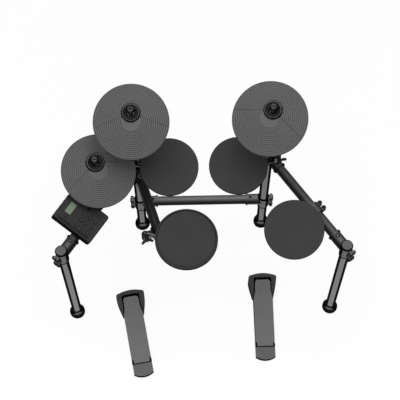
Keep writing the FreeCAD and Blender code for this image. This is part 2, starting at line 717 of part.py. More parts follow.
# Frames of the tilting pieces
TURNS = {
    "crash": facing(0, size("crash_tilt")),
    "ride": facing(-27, size("ride_tilt")),
    "hihat": facing(27, size("hihat_tilt")),
    "tom_left": facing(6, size("tom_tilt")),
    "tom_right": facing(-6, size("tom_tilt")),
    "floor_tom": facing(-17, size("floor_tom_tilt")),
    "snare": facing(4, size("snare_tilt")),
}
PIVOTS = {
    "crash": rear["left"] + Z_AXIS * size("pivot_z"),
    "ride": rear["right"] + Z_AXIS * size("pivot_z"),
    "hihat": on_arm("left", size("hihat_along"), size("rod_offset"), size("hihat_pivot_z")),
}
TOM_HUB_Z = RUN_Z + size("neck_drop")
CLAMP_HUB_Z = size("clamp_d / 2 + rod_d / 2 + clear_gap + neck_drop")
HUBS = {
    "tom_left": at(size("tom_left_x"), size("tom_hub_y"), TOM_HUB_Z),
    "tom_right": at(size("tom_right_x"), size("tom_hub_y"), TOM_HUB_Z),
    "floor_tom": at(size("floor_tom_x"), size("floor_tom_hub_y"), ARM_Z + CLAMP_HUB_Z),
    "snare": at(size("snare_x"), size("snare_hub_y"), size("snare_arm_z") + CLAMP_HUB_Z),
}
snare_end = rear["left"] + snare_dir * size("snare_along") + Z_AXIS * size("snare_arm_z")
snare_clamp = (snare_end, snare_dir, snare_side)
floor_clamp = (on_arm("right", size("floor_tom_along")), arm_dir["right"], -outward["right"])
hihat_clamp = (on_arm("left", size("hihat_along")), arm_dir["left"], outward["left"])
ROD_TAIL = size("eye_h / 2 + 10")

nodes = []


def node(item):
    """Count an object as a finished sub-part under its own name."""
    item.Label = item.Name
    nodes.append(item)
    return item


# Rear frame: legs, cross bar and the arm that carries the snare
leg_length = "arm_z + ring_up + clear_gap + socket_seat - foot_floor"
node(group("rear_legs", [
    tube(f"rear_leg_{side}", rear[side] + Z_AXIS * FOOT_FLOOR, Z_AXIS, leg_length) for side in SIDES]))
node(group("rear_feet", [foot(f"rear_foot_{side}", rear[side]) for side in SIDES]))
cross_at = {side: rear[side] + Z_AXIS * size("cross_z") for side in SIDES}
bar_start = cross_at["left"] + X_AXIS * size("arm_stop")
node(tube("cross_bar", bar_start, X_AXIS, "2 * (rear_leg_x - arm_stop)"))
node(group("cross_tees", [tee(f"cross_tee_{side}", cross_at[side], inward[side]) for side in SIDES]))
snare_at = rear["left"] + Z_AXIS * size("snare_arm_z")
node(tube("snare_arm", snare_at + snare_dir * size("arm_stop"), snare_dir, "snare_arm_len - arm_stop"))
node(tee("snare_tee", snare_at, snare_dir))
node(group("rod_holders", [socket(f"socket_{side}", rear[side], arm_dir[side]) for side in SIDES]
           + [rod_clamp("snare_clamp", *snare_clamp, "rod_d")]))
rack_bolts = tee_bolts("snare_tee_bolt", snare_at, snare_dir)
rack_bolts += rod_clamp_bolts("snare_clamp", *snare_clamp, "rod_d")
for side in SIDES:
    rack_bolts += tee_bolts(f"cross_bolt_{side}", cross_at[side], inward[side])
    rack_bolts += socket_bolts(f"socket_{side}", rear[side], arm_dir[side])
node(group("rack_bolts", rack_bolts))

# Side arms with their front legs
arm_bolts = {}
for side in SIDES:
    direction = arm_dir[side]
    ends = {"rear": (on_arm(side, 0), direction), "front": (on_arm(side, size(ARM_SPAN)), -direction)}
    node(tube(f"side_arm_{side}", on_arm(side, size("arm_stop")), direction, f"{ARM_SPAN} - 2 * arm_stop"))
    node(group(f"arm_tees_{side}", [tee(f"{end}_tee_{side}", *place) for end, place in ends.items()]))
    node(tube(f"front_leg_{side}", front[side] + Z_AXIS * FOOT_FLOOR, Z_AXIS,
              "arm_z + ring_up - foot_floor"))
    node(foot(f"front_foot_{side}", front[side]))
    node(leg_cap(f"leg_cap_{side}", front[side] + Z_AXIS * LEG_TOP))
    arm_bolts[side] = []
    for end, place in ends.items():
        arm_bolts[side] += tee_bolts(f"{end}_tee_bolt_{side}", *place)

# Cymbals: the crash and the ride stand in the rear legs, the hi-hat beside the left arm
post_foot = {side: rear[side] + Z_AXIS * (REAR_TOP - size("post_depth")) for side in SIDES}
node(group("cymbal_posts", [post("crash_post", post_foot["left"], PIVOTS["crash"]),
                            post("ride_post", post_foot["right"], PIVOTS["ride"])]))
node(group("cymbal_nuts", post_nut("crash", PIVOTS["crash"]) + post_nut("ride", PIVOTS["ride"])))
hihat_foot = on_arm("left", size("hihat_along"), size("rod_offset"), ARM_Z - size("hihat_post_low"))
node(post("hihat_post", hihat_foot, PIVOTS["hihat"]))
node(group("hihat_nut", post_nut("hihat", PIVOTS["hihat"])))
node(rod_clamp("hihat_clamp", *hihat_clamp, "post_d"))
arm_bolts["left"] += rod_clamp_bolts("hihat_clamp", *hihat_clamp, "post_d")
for name in PIVOTS:
    node(cymbal(f"{name}_cymbal", PIVOTS[name], TURNS[name]))

# Drum pads on their rods
holders = {f"tom_{side}": rear[side] + arm_dir[side] * size("rod_offset") for side in SIDES}
holders["snare"] = snare_clamp[0] + snare_side * size("rod_offset")
holders["floor_tom"] = floor_clamp[0] - outward["right"] * size("rod_offset")
rod_ends = {
    "tom_left": SOCKET_Z + size("socket_h + 8"),
    "tom_right": SOCKET_Z + size("socket_h + 8"),
    "snare": size("snare_arm_z") - ROD_TAIL,
    "floor_tom": ARM_Z - ROD_TAIL,
}
rods = {pad: pad_rod(f"{pad}_rod", holders[pad], rod_ends[pad], HUBS[pad], TURNS[pad]) for pad in HUBS}
node(group("pad_rods", [rods["tom_left"], rods["tom_right"], rods["snare"]]))
node(rods["floor_tom"])
node(rod_clamp("floor_tom_clamp", *floor_clamp, "rod_d"))
arm_bolts["right"] += rod_clamp_bolts("floor_tom_clamp", *floor_clamp, "rod_d")
for pad, hub in HUBS.items():
    node(pad_shell(f"{pad}_shell", pad_top(hub, TURNS[pad]), TURNS[pad]))
    node(pad_head(f"{pad}_head", pad_top(hub, TURNS[pad]), TURNS[pad]))
seat, lip, rim = "pad_d / 2 + 0.4", "pad_d / 2 - shell_inset + swing_gap", "pad_d / 2 + rim_w"
node(turned("snare_rim", [
    (lip, "-rim_depth"), (f"{rim} - 3", "-rim_depth", "3"), (rim, "3 - rim_depth"),
    (rim, "rim_rise - 3", "3"), (f"{rim} - 3", "rim_rise"), (f"{seat} + 1", "rim_rise"),
    (seat, "rim_rise - 1"), (seat, "-head_t - 0.4"), (lip, "-head_t - 0.4")],
    pad_top(HUBS["snare"], TURNS["snare"]), TURNS["snare"]))

# Sound module on the left arm
module_facing = math.degrees(math.atan2(-outward["left"].x, outward["left"].y))
MODULE_TURN = facing(module_facing, size("module_tilt"))
MODULE_HINGE = on_arm("left", size("module_along"), 0, size("module_hinge_z"))
MODULE_TOP = MODULE_HINGE + MODULE_TURN.multVec(Vector(0, size("module_out"), size("module_hinge_drop")))
BUTTONS = {"power": (size("power_x"), size("power_y"))}
for line in range(3):
    for column in range(4):
        across = (column - 1.5) * size("button_pitch_x")
        BUTTONS[f"{line * 4 + column + 1}"] = (across, size("button_row_y") - line * size("button_pitch_y"))


def on_module(x, y, z):
    """A point in the module's own frame: right, up the panel, out of the panel."""
    return MODULE_TOP + MODULE_TURN.multVec(Vector(x, y, z))


def module_moulding(name):
    """The module's rounded box, its top edge softened."""
    w, l, r = "module_w / 2", "module_l / 2", "module_round"
    body = doc.addObject("PartDesign::Body", name)
    sketch = sketch_in(body, f"{name}_outline", "XY_Plane", -size("module_t"))
    draw(sketch, [
        (f"-{w} + {r}", f"-{l}"), (f"{w} - {r}", f"-{l}", r), (w, f"-{l} + {r}"), (w, f"{l} - 6", "6"),
        (f"{w} - 6", l), (f"-{w} + 6", l, "6"), (f"-{w}", f"{l} - 6"), (f"-{w}", f"-{l} + {r}", r)])
    pad = body.newObject("PartDesign::Pad", f"{name}_pad")
    pad.Profile = sketch
    pad.setExpression("Length", bind("module_t"))
    doc.recompute()
    top = [f"Face{i}" for i, face in enumerate(pad.Shape.Faces, 1) if face.CenterOfMass.z > -0.01]
    edge = body.newObject("PartDesign::Fillet", f"{name}_edge")
    edge.Base = (pad, top)
    edge.setExpression("Radius", bind("module_edge"))
    return put(body, MODULE_TOP, MODULE_TURN)


def module_case(name):
    """The module's case, with wells for its screen, buttons and jacks and cheeks for its hinge."""
    across = MODULE_TURN.multiply(FLAT)
    back = MODULE_TURN.multiply(UPRIGHT)
    drop, out = -size("module_hinge_drop"), -size("module_out")
    pieces = [module_moulding(f"{name}_moulding")]
    for side, sign in (("near", -1), ("far", 1)):
        middle = sign * size("hinge_lug_w / 2 + swing_gap + cheek_t / 2")
        eye = on_module(middle - size("cheek_t / 2"), out, drop)
        cheek_h = "module_hinge_drop - module_t + 3"
        pieces.append(box(f"{name}_{side}_cheek", "cheek_t", "hinge_lug_d", cheek_h,
                          on_module(middle, out, drop), MODULE_TURN))
        pieces.append(cylinder(f"{name}_{side}_eye", "hinge_lug_d", "cheek_t", eye, across))
    screen_at = on_module(0, size("screen_y"), -size("screen_t"))
    wells = [box(f"{name}_screen_well", "screen_w + 2 * fit_gap", "screen_l + 2 * fit_gap", "2 * screen_t",
                 screen_at, MODULE_TURN)]
    for label, (x, y) in BUTTONS.items():
        floor = on_module(x, y, -size("button_well"))
        wells.append(cylinder(f"{name}_well_{label}", "button_d + 2 * swing_gap", "button_well + 1", floor,
                              MODULE_TURN))
    pin_at = on_module(-size("2 * hinge_lug_w"), out, drop)
    wells.append(cylinder(f"{name}_pin_bore", "pin_d + 2 * swing_gap", "4 * hinge_lug_w", pin_at, across))
    for number, x in enumerate((-30, -10, 10, 30)):
        mouth = on_module(x, size("module_l / 2 + 1"), -size("module_t / 2"))
        wells.append(cylinder(f"{name}_jack_{number}", "jack_d", "14", mouth, back))
    return cut(name, fuse(f"{name}_body", pieces), wells)


def module_button(label):
    x, y = BUTTONS[label]
    radius = "button_d / 2"
    return turned(f"button_{label}", [
        ("0", "-button_stem"), (radius, "-button_stem"), (radius, "button_rise - button_dome", radius),
        (f"{radius} - button_dome", "button_rise"), ("0", "button_rise")], on_module(x, y, 0), MODULE_TURN)


def module_bracket(name):
    """The ring round the arm whose lug carries the module's hinge pin."""
    direction = arm_dir["left"]
    centre = on_arm("left", size("module_along"))
    turn = framed(-outward["left"], direction)
    low = centre - direction * size("clamp_len / 2")
    lug_h = f"{MODULE_HINGE.z - ARM_Z}"
    pin = "hinge_lug_w / 2 + cheek_t + swing_gap"
    pieces = [
        cylinder(f"{name}_ring", "clamp_d", "clamp_len", low, turn),
        box(f"{name}_lug", "hinge_lug_w", "hinge_lug_d", lug_h, centre, framed(direction, Z_AXIS)),
        cylinder(f"{name}_eye", "hinge_lug_d", "hinge_lug_w",
                 MODULE_HINGE - direction * size("hinge_lug_w / 2"), turn),
        cylinder(f"{name}_pin", "pin_d", f"2 * ({pin})", MODULE_HINGE - direction * size(pin), turn)]
    points = lug_points(centre, turn, "clamp_d", "clamp_bolt_span")
    bore_at = low - direction * size("clamp_len / 2")
    return cut(name, fuse(f"{name}_body", pieces + lugs(f"{name}_split", points, turn)), [
        cylinder(f"{name}_bore", "tube_d + 2 * fit_gap", "2 * clamp_len", bore_at, turn)]
        + split(name, points, turn, "clamp_d", "clamp_len"))


node(module_bracket("module_bracket"))
bracket_turn = framed(-outward["left"], arm_dir["left"])
bracket_points = lug_points(on_arm("left", size("module_along")), bracket_turn, "clamp_d", "clamp_bolt_span")
arm_bolts["left"] += cross_bolts("module_bolt", bracket_points, bracket_turn)
for side in SIDES:
    node(group(f"arm_bolts_{side}", arm_bolts[side]))
node(module_case("module_case"))
node(box("module_screen", "screen_w", "screen_l", "screen_t",
         on_module(0, size("screen_y"), -size("screen_t")), MODULE_TURN))
for label in BUTTONS:
    node(module_button(label))

# Floor pedals
PEDALS = {
    "kick": (at(size("kick_x"), size("kick_y"), 0), Rotation(Z_AXIS, size("kick_turn"))),
    "hihat": (at(size("hihat_pedal_x"), size("hihat_pedal_y"), 0),
              Rotation(Z_AXIS, size("hihat_pedal_turn"))),
}
LUG_INNER = "heel_w / 2 - lug_t"
TOE = "pedal_len"
TIPS = "pedal_len - tower_len"
WAIST = "pedal_len - 40"


def pedal_tower(name, origin, turn):
    """The hood round a pedal's toe: a bowed front and two cheeks that thin out to the tips, sloping down."""
    out, tip, inner = "tower_w / 2", "tower_tip_w / 2", "tower_inner_w / 2"
    bow_r = "((tower_w / 2 - 12) ^ 2 + tower_bow ^ 2) / (2 * tower_bow)"
    face, back = f"{TOE} - tower_bow", f"{TOE} - tower_front_t - 2"
    walls = extruded(f"{name}_walls", [
        (tip, TIPS), (f"{out} - 3", WAIST), (out, f"{face} - 12", "12"), (f"{out} - 12", face, bow_r),
        (f"-{out} + 12", face, "12"), (f"-{out}", f"{face} - 12"), (f"-{out} + 3", WAIST), (f"-{tip}", TIPS),
        (f"-{tip} + 1.5", TIPS), (f"-{inner}", f"{TIPS} + 26"), (f"-{inner}", f"{back} - 6", "-6"),
        (f"-{inner} + 6", back), (f"{inner} - 6", back, "-6"), (inner, f"{back} - 6"),
        (inner, f"{TIPS} + 26"), (f"{tip} - 1.5", TIPS)], "tower_h", origin, turn)
    slope = math.degrees(math.atan2(size("tower_h - tower_tip_h"), size("tower_len - tower_front_t")))
    low_edge = origin + turn.multVec(Vector(0, size(TIPS), size("tower_tip_h")))
    shave = box(f"{name}_slope", "2 * tower_w", "4 * tower_len", "2 * tower_h", low_edge,
                turn.multiply(Rotation(X_AXIS, slope)))
    return cut(name, walls, [shave])


def pedal_base(name, origin, turn):
    """A pedal's casting: heel plate, sole, hinge lugs and toe walls, with its hinge pin."""
    def local(x, y, z):
        return origin + turn.multVec(Vector(x, y, z))
    sideways = turn.multiply(FLAT)
    half, out = "heel_w / 2", "tower_w / 2"
    heel_r = "(heel_w * heel_w / 4 + heel_bulge * heel_bulge) / (2 * heel_bulge)"
    hinge = size("pedal_hinge_z")
    sole_at = local(0, size("pedal_len / 2 - heel_len / 4"), 0)
    bumper_at = local(0, size("pedal_len - tower_len / 2"), 0)
    pieces = [
        extruded(f"{name}_heel", [
            (half, "-lug_r - 1"), (f"-{half}", "-lug_r - 1"), (f"-{half}", "heel_bulge - heel_len", heel_r),
            (half, "heel_bulge - heel_len")], "heel_h", origin, turn),
        box(f"{name}_sole", "heel_w", "pedal_len + heel_len / 2", "plate_t", sole_at, turn),
        pedal_tower(f"{name}_tower", origin, turn),
        extruded(f"{name}_toe_plate", [
            (half, TIPS), (f"{out} - 4", WAIST), (f"{out} - 2", f"{TOE} - tower_bow - 8"),
            (f"-{out} + 2", f"{TOE} - tower_bow - 8"), (f"-{out} + 4", WAIST), (f"-{half}", TIPS)],
            "plate_t", origin, turn),
        cylinder(f"{name}_bumper", "bumper_d", "bumper_h", bumper_at, turn)]
    for side, sign in (("near", -1), ("far", 1)):
        middle = sign * size(f"{LUG_INNER} + lug_t / 2")
        eye = local(middle - size("lug_t / 2"), 0, hinge)
        root = local(middle, 0, 0)
        pieces.append(box(f"{name}_{side}_lug", "lug_t", "2 * lug_r", "pedal_hinge_z", root, turn))
        pieces.append(cylinder(f"{name}_{side}_eye", "2 * lug_r", "lug_t", eye, sideways))
    bore = cylinder(f"{name}_pin_bore", "pedal_pin_d + 2 * fit_gap", "2 * heel_w",
                    local(-size("heel_w"), 0, hinge), sideways)
    pin = cylinder(f"{name}_pin", "pedal_pin_d", "heel_w + 2",
                   local(-size("heel_w / 2 + 1"), 0, hinge), sideways)
    return group(name, [cut(f"{name}_casting", fuse(f"{name}_body", pieces), [bore]), pin])


def pedal_board(name, origin, turn):
    """A pedal's foot board: it rises from its knuckle to a narrower toe between the walls."""
    sideways = turn.multiply(FLAT)
    hinge = origin + Z_AXIS * size("pedal_hinge_z")
    across = turn.multVec(X_AXIS)
    root, wide, toe = f"({LUG_INNER} - 1)", "board_w / 2", "board_toe_w / 2"
    shoulder, waist, end = f"{TIPS} - 8", f"{TIPS} + 20", f"{TOE} - tower_front_t - 7"
    plate = extruded(f"{name}_plate", [
        (f"-{root}", "0"), (root, "0"), (root, "lug_r + 2"), (wide, "lug_r + 7"), (wide, shoulder),
        (f"{toe} + 1", waist), (toe, f"{end} - 10", "10"), (f"{toe} - 10", end), (f"-{toe} + 10", end, "10"),
        (f"-{toe}", f"{end} - 10"), (f"-{toe} - 1", waist), (f"-{wide}", shoulder),
        (f"-{wide}", "lug_r + 7"), (f"-{root}", "lug_r + 2")], "board_t", hinge,
        turn.multiply(Rotation(X_AXIS, size("board_rise"))))
    knuckle = cylinder(f"{name}_knuckle", "2 * board_t", f"2 * {root}", hinge - across * size(root), sideways)
    bore = cylinder(f"{name}_bore", "pedal_pin_d + 2 * swing_gap", "2 * heel_w",
                    hinge - across * size("heel_w"), sideways)
    return cut(name, fuse(f"{name}_body", [plate, knuckle]), [bore])


for pedal, place in PEDALS.items():
    node(pedal_base(f"{pedal}_pedal_base", *place))
    node(pedal_board(f"{pedal}_pedal_board", *place))

doc.recompute()
failed = [item.Label for item in doc.Objects if {"Invalid", "Error"} & set(item.State)]
failed += [item.Label for item in nodes if item.Shape.isNull() or not item.Shape.isValid()]
if failed:
    raise SystemExit(f"failed: {failed}")
os.makedirs("parts", exist_ok=True)
whole = FreeCAD.BoundBox()
for item in nodes:
    item.Shape.exportStep(f"parts/{item.Label}.step")
    whole.add(item.Shape.BoundBox)
print(len(nodes), "sub-parts", whole)
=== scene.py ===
# %% [markdown]
# # An electronic drum kit, finished for its picture
# The tubes, clamps, pads and pedals are already in place as solids, each on the body that it moves with.
# This lesson gives them their finishes and adds the smaller pieces: grooved cymbal discs with their
# collars and cups, screws, jack nuts, trims and a plug. All of it could be modelled here, but pieces that
# have to fit and move together are made more exactly as solids beforehand.

import itertools
import json
import math

import bmesh
import bpy
import numpy as np
from mathutils import Matrix, Vector


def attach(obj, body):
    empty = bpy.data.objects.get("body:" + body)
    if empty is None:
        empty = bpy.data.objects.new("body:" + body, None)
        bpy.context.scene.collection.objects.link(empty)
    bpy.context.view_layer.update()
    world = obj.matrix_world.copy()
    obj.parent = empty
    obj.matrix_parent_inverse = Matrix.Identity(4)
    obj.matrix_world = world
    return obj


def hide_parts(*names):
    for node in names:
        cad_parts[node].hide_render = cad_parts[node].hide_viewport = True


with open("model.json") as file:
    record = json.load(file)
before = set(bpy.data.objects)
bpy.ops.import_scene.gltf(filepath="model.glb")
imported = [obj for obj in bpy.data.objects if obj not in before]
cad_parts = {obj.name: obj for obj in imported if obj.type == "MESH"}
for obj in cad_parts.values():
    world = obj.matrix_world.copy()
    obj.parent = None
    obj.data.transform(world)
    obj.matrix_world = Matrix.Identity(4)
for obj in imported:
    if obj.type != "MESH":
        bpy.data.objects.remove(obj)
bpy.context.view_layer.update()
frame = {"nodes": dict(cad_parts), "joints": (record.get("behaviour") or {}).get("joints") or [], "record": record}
joints = {joint["name"]: joint for joint in frame["joints"]}

# %% [markdown]
# ## The camera
# A camera could be set by eye. This one was worked out from where the feet stand and from the straight
# edges of the tubes, because a small error in its slope would shift everything that is high.

# %% Place the camera
CAMERA_PLACE = (-0.04629, -1.63635, 4.37880)
CAMERA_SLOPE, CAMERA_SWING = 24.5, -1.2
LENS_MM, SENSOR_MM = 109.605, 36.0
scene = bpy.context.scene
camera = bpy.data.objects.new("camera", bpy.data.cameras.new("camera"))
camera.location = CAMERA_PLACE
camera.rotation_euler = (math.radians(CAMERA_SLOPE), 0.0, math.radians(CAMERA_SWING))
camera.data.lens = LENS_MM
camera.data.sensor_width = SENSOR_MM
scene.collection.objects.link(camera)
scene.camera = camera
print("camera", round(camera.location.length, 2), "m from the kit's origin")

# %% [markdown]
# ## Shader helpers
# Each finish is a small graph of shader nodes, which could be wired by hand in the shader editor. A script
# is easier to read with a few helpers. The first adds a node and fills its inputs: each input is a plain
# value, set on the socket, or the output of another node, which is linked. The others make the nodes that
# come up again and again: sums, ramps and upright parts.

# %% Helpers for shader nodes
def place(tree, kind, inputs=None, **settings):
    """Adds one shader node; each input is a plain value or the output socket of another node."""
    made = tree.nodes.new(kind)
    for key, value in settings.items():
        setattr(made, key, value)
    for key, value in (inputs or {}).items():
        if isinstance(value, bpy.types.NodeSocket):
            tree.links.new(value, made.inputs[key])
        else:
            made.inputs[key].default_value = value
    return made


def reckon(tree, operation, first, second=0.0):
    """One Math node: the result of an operation on two numbers or sockets."""
    return place(tree, "ShaderNodeMath", {0: first, 1: second}, operation=operation).outputs[0]


def ramp(tree, value, low, high, at_low, at_high, smooth=False):
    """One Map Range node: at_low up to the value low, at_high from the value high on, a ramp between."""
    inputs = {"Value": value, "From Min": low, "From Max": high, "To Min": at_low, "To Max": at_high}
    course = "SMOOTHSTEP" if smooth else "LINEAR"
    return place(tree, "ShaderNodeMapRange", inputs, interpolation_type=course).outputs[0]


def upright_part(tree, vector):
    """The upright part of a place or a direction."""
    return place(tree, "ShaderNodeSeparateXYZ", {0: vector}).outputs["Z"]


def own_place(tree):
    """Where a point lies on its piece, in metres, the same in every view and pose."""
    return place(tree, "ShaderNodeTexCoord").outputs["Object"]


def new_finish(name):
    """A new material with its node tree and its surface node."""
    material = bpy.data.materials.new(name)
    material.use_nodes = True
    return material, material.node_tree, material.node_tree.nodes["Principled BSDF"]


print("shader helpers ready")

# %% [markdown]
# ## The paper floor
# Further off the glow takes up that rest too, so that no edge of the floor shows. For rays of light it is
# all plain paper.

# %% Lay the paper floor
FLOOR_HALF = 9.0
PAPER_GLOW = 0.93
FADE_FROM, FADE_TO = 1.3, 3.5
PAPER_WHITE, PAPER_ROUGH = (0.9, 0.9, 0.9, 1.0), 0.9
floor_mesh = bpy.data.meshes.new("paper_floor")
floor_corners = np.array([[-1, -1, 0], [1, -1, 0], [1, 1, 0], [-1, 1, 0]], float) * FLOOR_HALF
floor_mesh.from_pydata(floor_corners.tolist(), [], [[0, 1, 2, 3]])
paper_floor = bpy.data.objects.new("paper_floor", floor_mesh)
scene.collection.objects.link(paper_floor)


def seen_rays(tree):
    """1 for rays from the camera, from a reflection or through glass, and 0 for rays of light."""
    path = place(tree, "ShaderNodeLightPath").outputs
    either = reckon(tree, "MAXIMUM", path["Is Camera Ray"], path["Is Glossy Ray"])
    return reckon(tree, "MAXIMUM", either, path["Is Transmission Ray"])


paper, tree, surface = new_finish("white_paper")
surface.inputs["Base Color"].default_value = PAPER_WHITE
surface.inputs["Roughness"].default_value = PAPER_ROUGH
glow = place(tree, "ShaderNodeEmission", {"Color": (1.0, 1.0, 1.0, 1.0), "Strength": 1.0})
distance = place(tree, "ShaderNodeVectorMath", {0: own_place(tree)}, operation="LENGTH").outputs["Value"]
glow_share = ramp(tree, distance, FADE_FROM, FADE_TO, PAPER_GLOW, 1.0)
glow_share = reckon(tree, "MULTIPLY", seen_rays(tree), glow_share)
mixed = place(tree, "ShaderNodeMixShader", {0: glow_share, 1: surface.outputs[0], 2: glow.outputs[0]})
tree.links.new(mixed.outputs[0], tree.nodes["Material Output"].inputs["Surface"])
floor_mesh.materials.append(paper)
print("paper floor", 2 * FLOOR_HALF, "m wide")

# %% [markdown]
# ## Room and lamps
# Black lacquer shows mostly what it mirrors. The room is white round the horizon and dark overhead, so
# upright tubes mirror bright paper while level ones stay dark on top. The room looks brighter than the light
# that it gives. Most light comes from a broad lamp overhead and a weaker one over the front.

# %% Light the room
SKY_LIGHT = 0.30
CEILING = 0.10
CEILING_FROM, CEILING_TO = 0.25, 0.7
LAMPS = {
    "soft_lamp_overhead": ((-0.05, 0.30, 4.5), (0.0, 0.0, 0.4), 3.2, 138.0),
    "soft_lamp_player": ((-0.4, -2.8, 3.2), (0.0, -0.3, 0.1), 1.8, 52.0),
}
world = bpy.data.worlds.new("white_room")
world.use_nodes = True
scene.world = world
tree = world.node_tree
sky = tree.nodes["Background"]
sky.inputs["Color"].default_value = (1.0, 1.0, 1.0, 1.0)
view_height = upright_part(tree, place(tree, "ShaderNodeTexCoord").outputs["Generated"])
ceiling = ramp(tree, view_height, CEILING_FROM, CEILING_TO, 1.0, CEILING)
tree.links.new(ramp(tree, seen_rays(tree), 0.0, 1.0, SKY_LIGHT, ceiling), sky.inputs["Strength"])


def lamp(name, position, target, width, power):
    """A square soft lamp at a position, turned to face a target."""
    light = bpy.data.lights.new(name, "AREA")
    light.size = width
    light.energy = power
    stand = bpy.data.objects.new(name, light)
    aim = Vector(target) - Vector(position)
    stand.matrix_world = Matrix.Translation(position) @ aim.to_track_quat("-Z", "Y").to_matrix().to_4x4()
    scene.collection.objects.link(stand)


for lamp_name, lamp_settings in LAMPS.items():
    lamp(lamp_name, *lamp_settings)
scene.view_settings.view_transform = "Standard"
print("white room with", len(LAMPS), "lamps")

# %% [markdown]
# ## Grain
# They differ close up. A coating has a slow ripple, a moulding has the fine grain of its mould, and rubber
# is dull. Photographs of such surfaces could be laid on, but they need a map of each piece and show seams.
# Noise needs neither: fine noise raises the surface, and slow noise shifts its tone. Upper faces are
# painted paler than the sides: painted light from above, and painted shade on the sides.

# %% A grained finish
MM_PER_M = 1000.0
SLOW_SCALE = 17.0
NOISE_BAND, ROUGH_BAND = (0.3, 0.7), (0.25, 0.75)
SPECK, ROUGH_DRIFT = 0.07, 0.05
SIDE_SHADE_BAND = (0.58, 0.85)
BUMP_SHARE = 0.5


def grey(level):
    """A neutral colour of one level."""
    return (level, level, level * 1.01)


def grained(name, tone, rough, grain_mm, relief_mm, drift=0.10, side=1.0, fall=0.0):
    """A plain finish: noise of the grain's size lifts the surface, slower noise shifts its tone.

    Faces that look sideways have the tone times side, as painted shade of light from above. With a fall,
    the tone drops with that power of the normal's upright part, as painted shade on a round tube lit from
    above. Without one, it drops over a narrow band, at the edges.
    """
    material, tree, surface = new_finish(name)
    spot = place(tree, "ShaderNodeTexCoord").outputs
    grain = place(tree, "ShaderNodeTexNoise", {
        "Vector": spot["Object"], "Scale": MM_PER_M / grain_mm, "Detail": 3.0}).outputs[0]
    slow = place(tree, "ShaderNodeTexNoise", {
        "Vector": spot["Object"], "Scale": SLOW_SCALE, "Detail": 4.0}).outputs[0]
    shift = ramp(tree, slow, *NOISE_BAND, 1 - drift, 1 + drift)
    scale = reckon(tree, "MULTIPLY", shift, ramp(tree, grain, *NOISE_BAND, 1 - SPECK, 1 + SPECK))
    # Painted shade: faces that look sideways keep only the share side of the tone.
    if side != 1.0:
        lean, band = upright_part(tree, spot["Normal"]), SIDE_SHADE_BAND
        if fall:
            lean, band = reckon(tree, "POWER", reckon(tree, "MAXIMUM", lean, 0.0), fall), (0.0, 1.0)
        scale = reckon(tree, "MULTIPLY", scale, ramp(tree, lean, *band, side, 1.0))
    colour = place(tree, "ShaderNodeVectorMath", {0: tone, "Scale": scale}, operation="SCALE")
    tree.links.new(colour.outputs[0], surface.inputs["Base Color"])
    dull = ramp(tree, grain, *ROUGH_BAND, rough - ROUGH_DRIFT, rough + ROUGH_DRIFT)
    tree.links.new(dull, surface.inputs["Roughness"])
    bump = place(tree, "ShaderNodeBump", {
        "Height": grain, "Strength": BUMP_SHARE, "Distance": relief_mm / MM_PER_M})
    tree.links.new(bump.outputs[0], surface.inputs["Normal"])
    return material


print("grain shifts a tone by", SPECK, "and roughness by", ROUGH_DRIFT)

# %% [markdown]
# ## Gloss that fades
# In the picture an upright tube has one bright streak down its middle and is black on both sides. So the
# mirror itself fades where the surface turns away from the eye. On upright walls it fades by the
# sideways angle alone, and then the streak is as wide from high up as from low down. Two Layer Weight
# nodes give that angle.

# %% A mirror that fades
FULL_SHINE = 0.5
TURNING_AWAY = (0.63, 0.70)
WALL_TURN = (0.44, 0.62)
UPRIGHT_BAND = (0.1, 0.3)


def turned_aside(tree):
    """Tangent of the angle by which an upright wall turns aside from the eye, at any height of the eye.

    It is the part of the view along the wall's level direction over the part along the wall's normal.
    """
    normal = place(tree, "ShaderNodeNewGeometry").outputs["Normal"]
    level = place(tree, "ShaderNodeVectorMath", {0: normal, 1: (0.0, 0.0, 1.0)}, operation="CROSS_PRODUCT")
    parts = []
    for direction in (level.outputs[0], normal):
        facing = place(tree, "ShaderNodeLayerWeight", {"Blend": 0.5, "Normal": direction}).outputs["Facing"]
        parts.append(reckon(tree, "SUBTRACT", 1.0, facing))
    return reckon(tree, "DIVIDE", *parts)


def dulled(material, shine, index=1.5, level_shine=1.0, wall=False):
    """The same finish with a mirror of strength shine, which fades out where the surface turns away.

    The index is the refractive index of the top layer, and a shine of 0.5 is all that it gives. On a wall
    the mirror fades with the tangent of the sideways angle, elsewhere with 1 less the cosine of the angle
    of view. Faces that aren't upright keep the share level_shine of it: castings are left rough there.
    """
    tree = material.node_tree
    surface = tree.nodes["Principled BSDF"]
    if wall:
        turn, band = turned_aside(tree), WALL_TURN
    else:
        turn, band = place(tree, "ShaderNodeLayerWeight", {"Blend": 0.5}).outputs["Facing"], TURNING_AWAY
    fade = ramp(tree, turn, *band, shine, 0.0, smooth=True)
    if level_shine != 1.0:
        normal = place(tree, "ShaderNodeTexCoord").outputs["Normal"]
        lean = reckon(tree, "ABSOLUTE", upright_part(tree, normal))
        fade = reckon(tree, "MULTIPLY", fade, ramp(tree, lean, *UPRIGHT_BAND, 1.0, level_shine))
    tree.links.new(fade, surface.inputs["Specular IOR Level"])
    surface.inputs["IOR"].default_value = index
    return material


print("streaks end", round(math.degrees(math.atan(WALL_TURN[1]))), "degrees aside")

# %% [markdown]
# ## Feet
# A foot is a rubber boot over the end of a leg. It shines on its neck and is worn dull on its rim. Faces
# could be picked by hand for a second material, but these solids aren't to be changed. So the finish
# measures a point's height, and has no mirror below the top of the rim.

# %% A foot with a dull rim
FOOT_RIM = 0.012


def weaken(tree, share):
    """Multiplies the strength of the mirror that a finish already has."""
    strength = tree.nodes["Principled BSDF"].inputs["Specular IOR Level"]
    tree.links.new(reckon(tree, "MULTIPLY", strength.links[0].from_socket, share), strength)


def necked(material):
    """The same finish with no mirror below the top of a foot's rim."""
    tree = material.node_tree
    weaken(tree, reckon(tree, "GREATER_THAN", upright_part(tree, own_place(tree)), FOOT_RIM))
    return material


print("feet are dull up to", FOOT_RIM, "m")
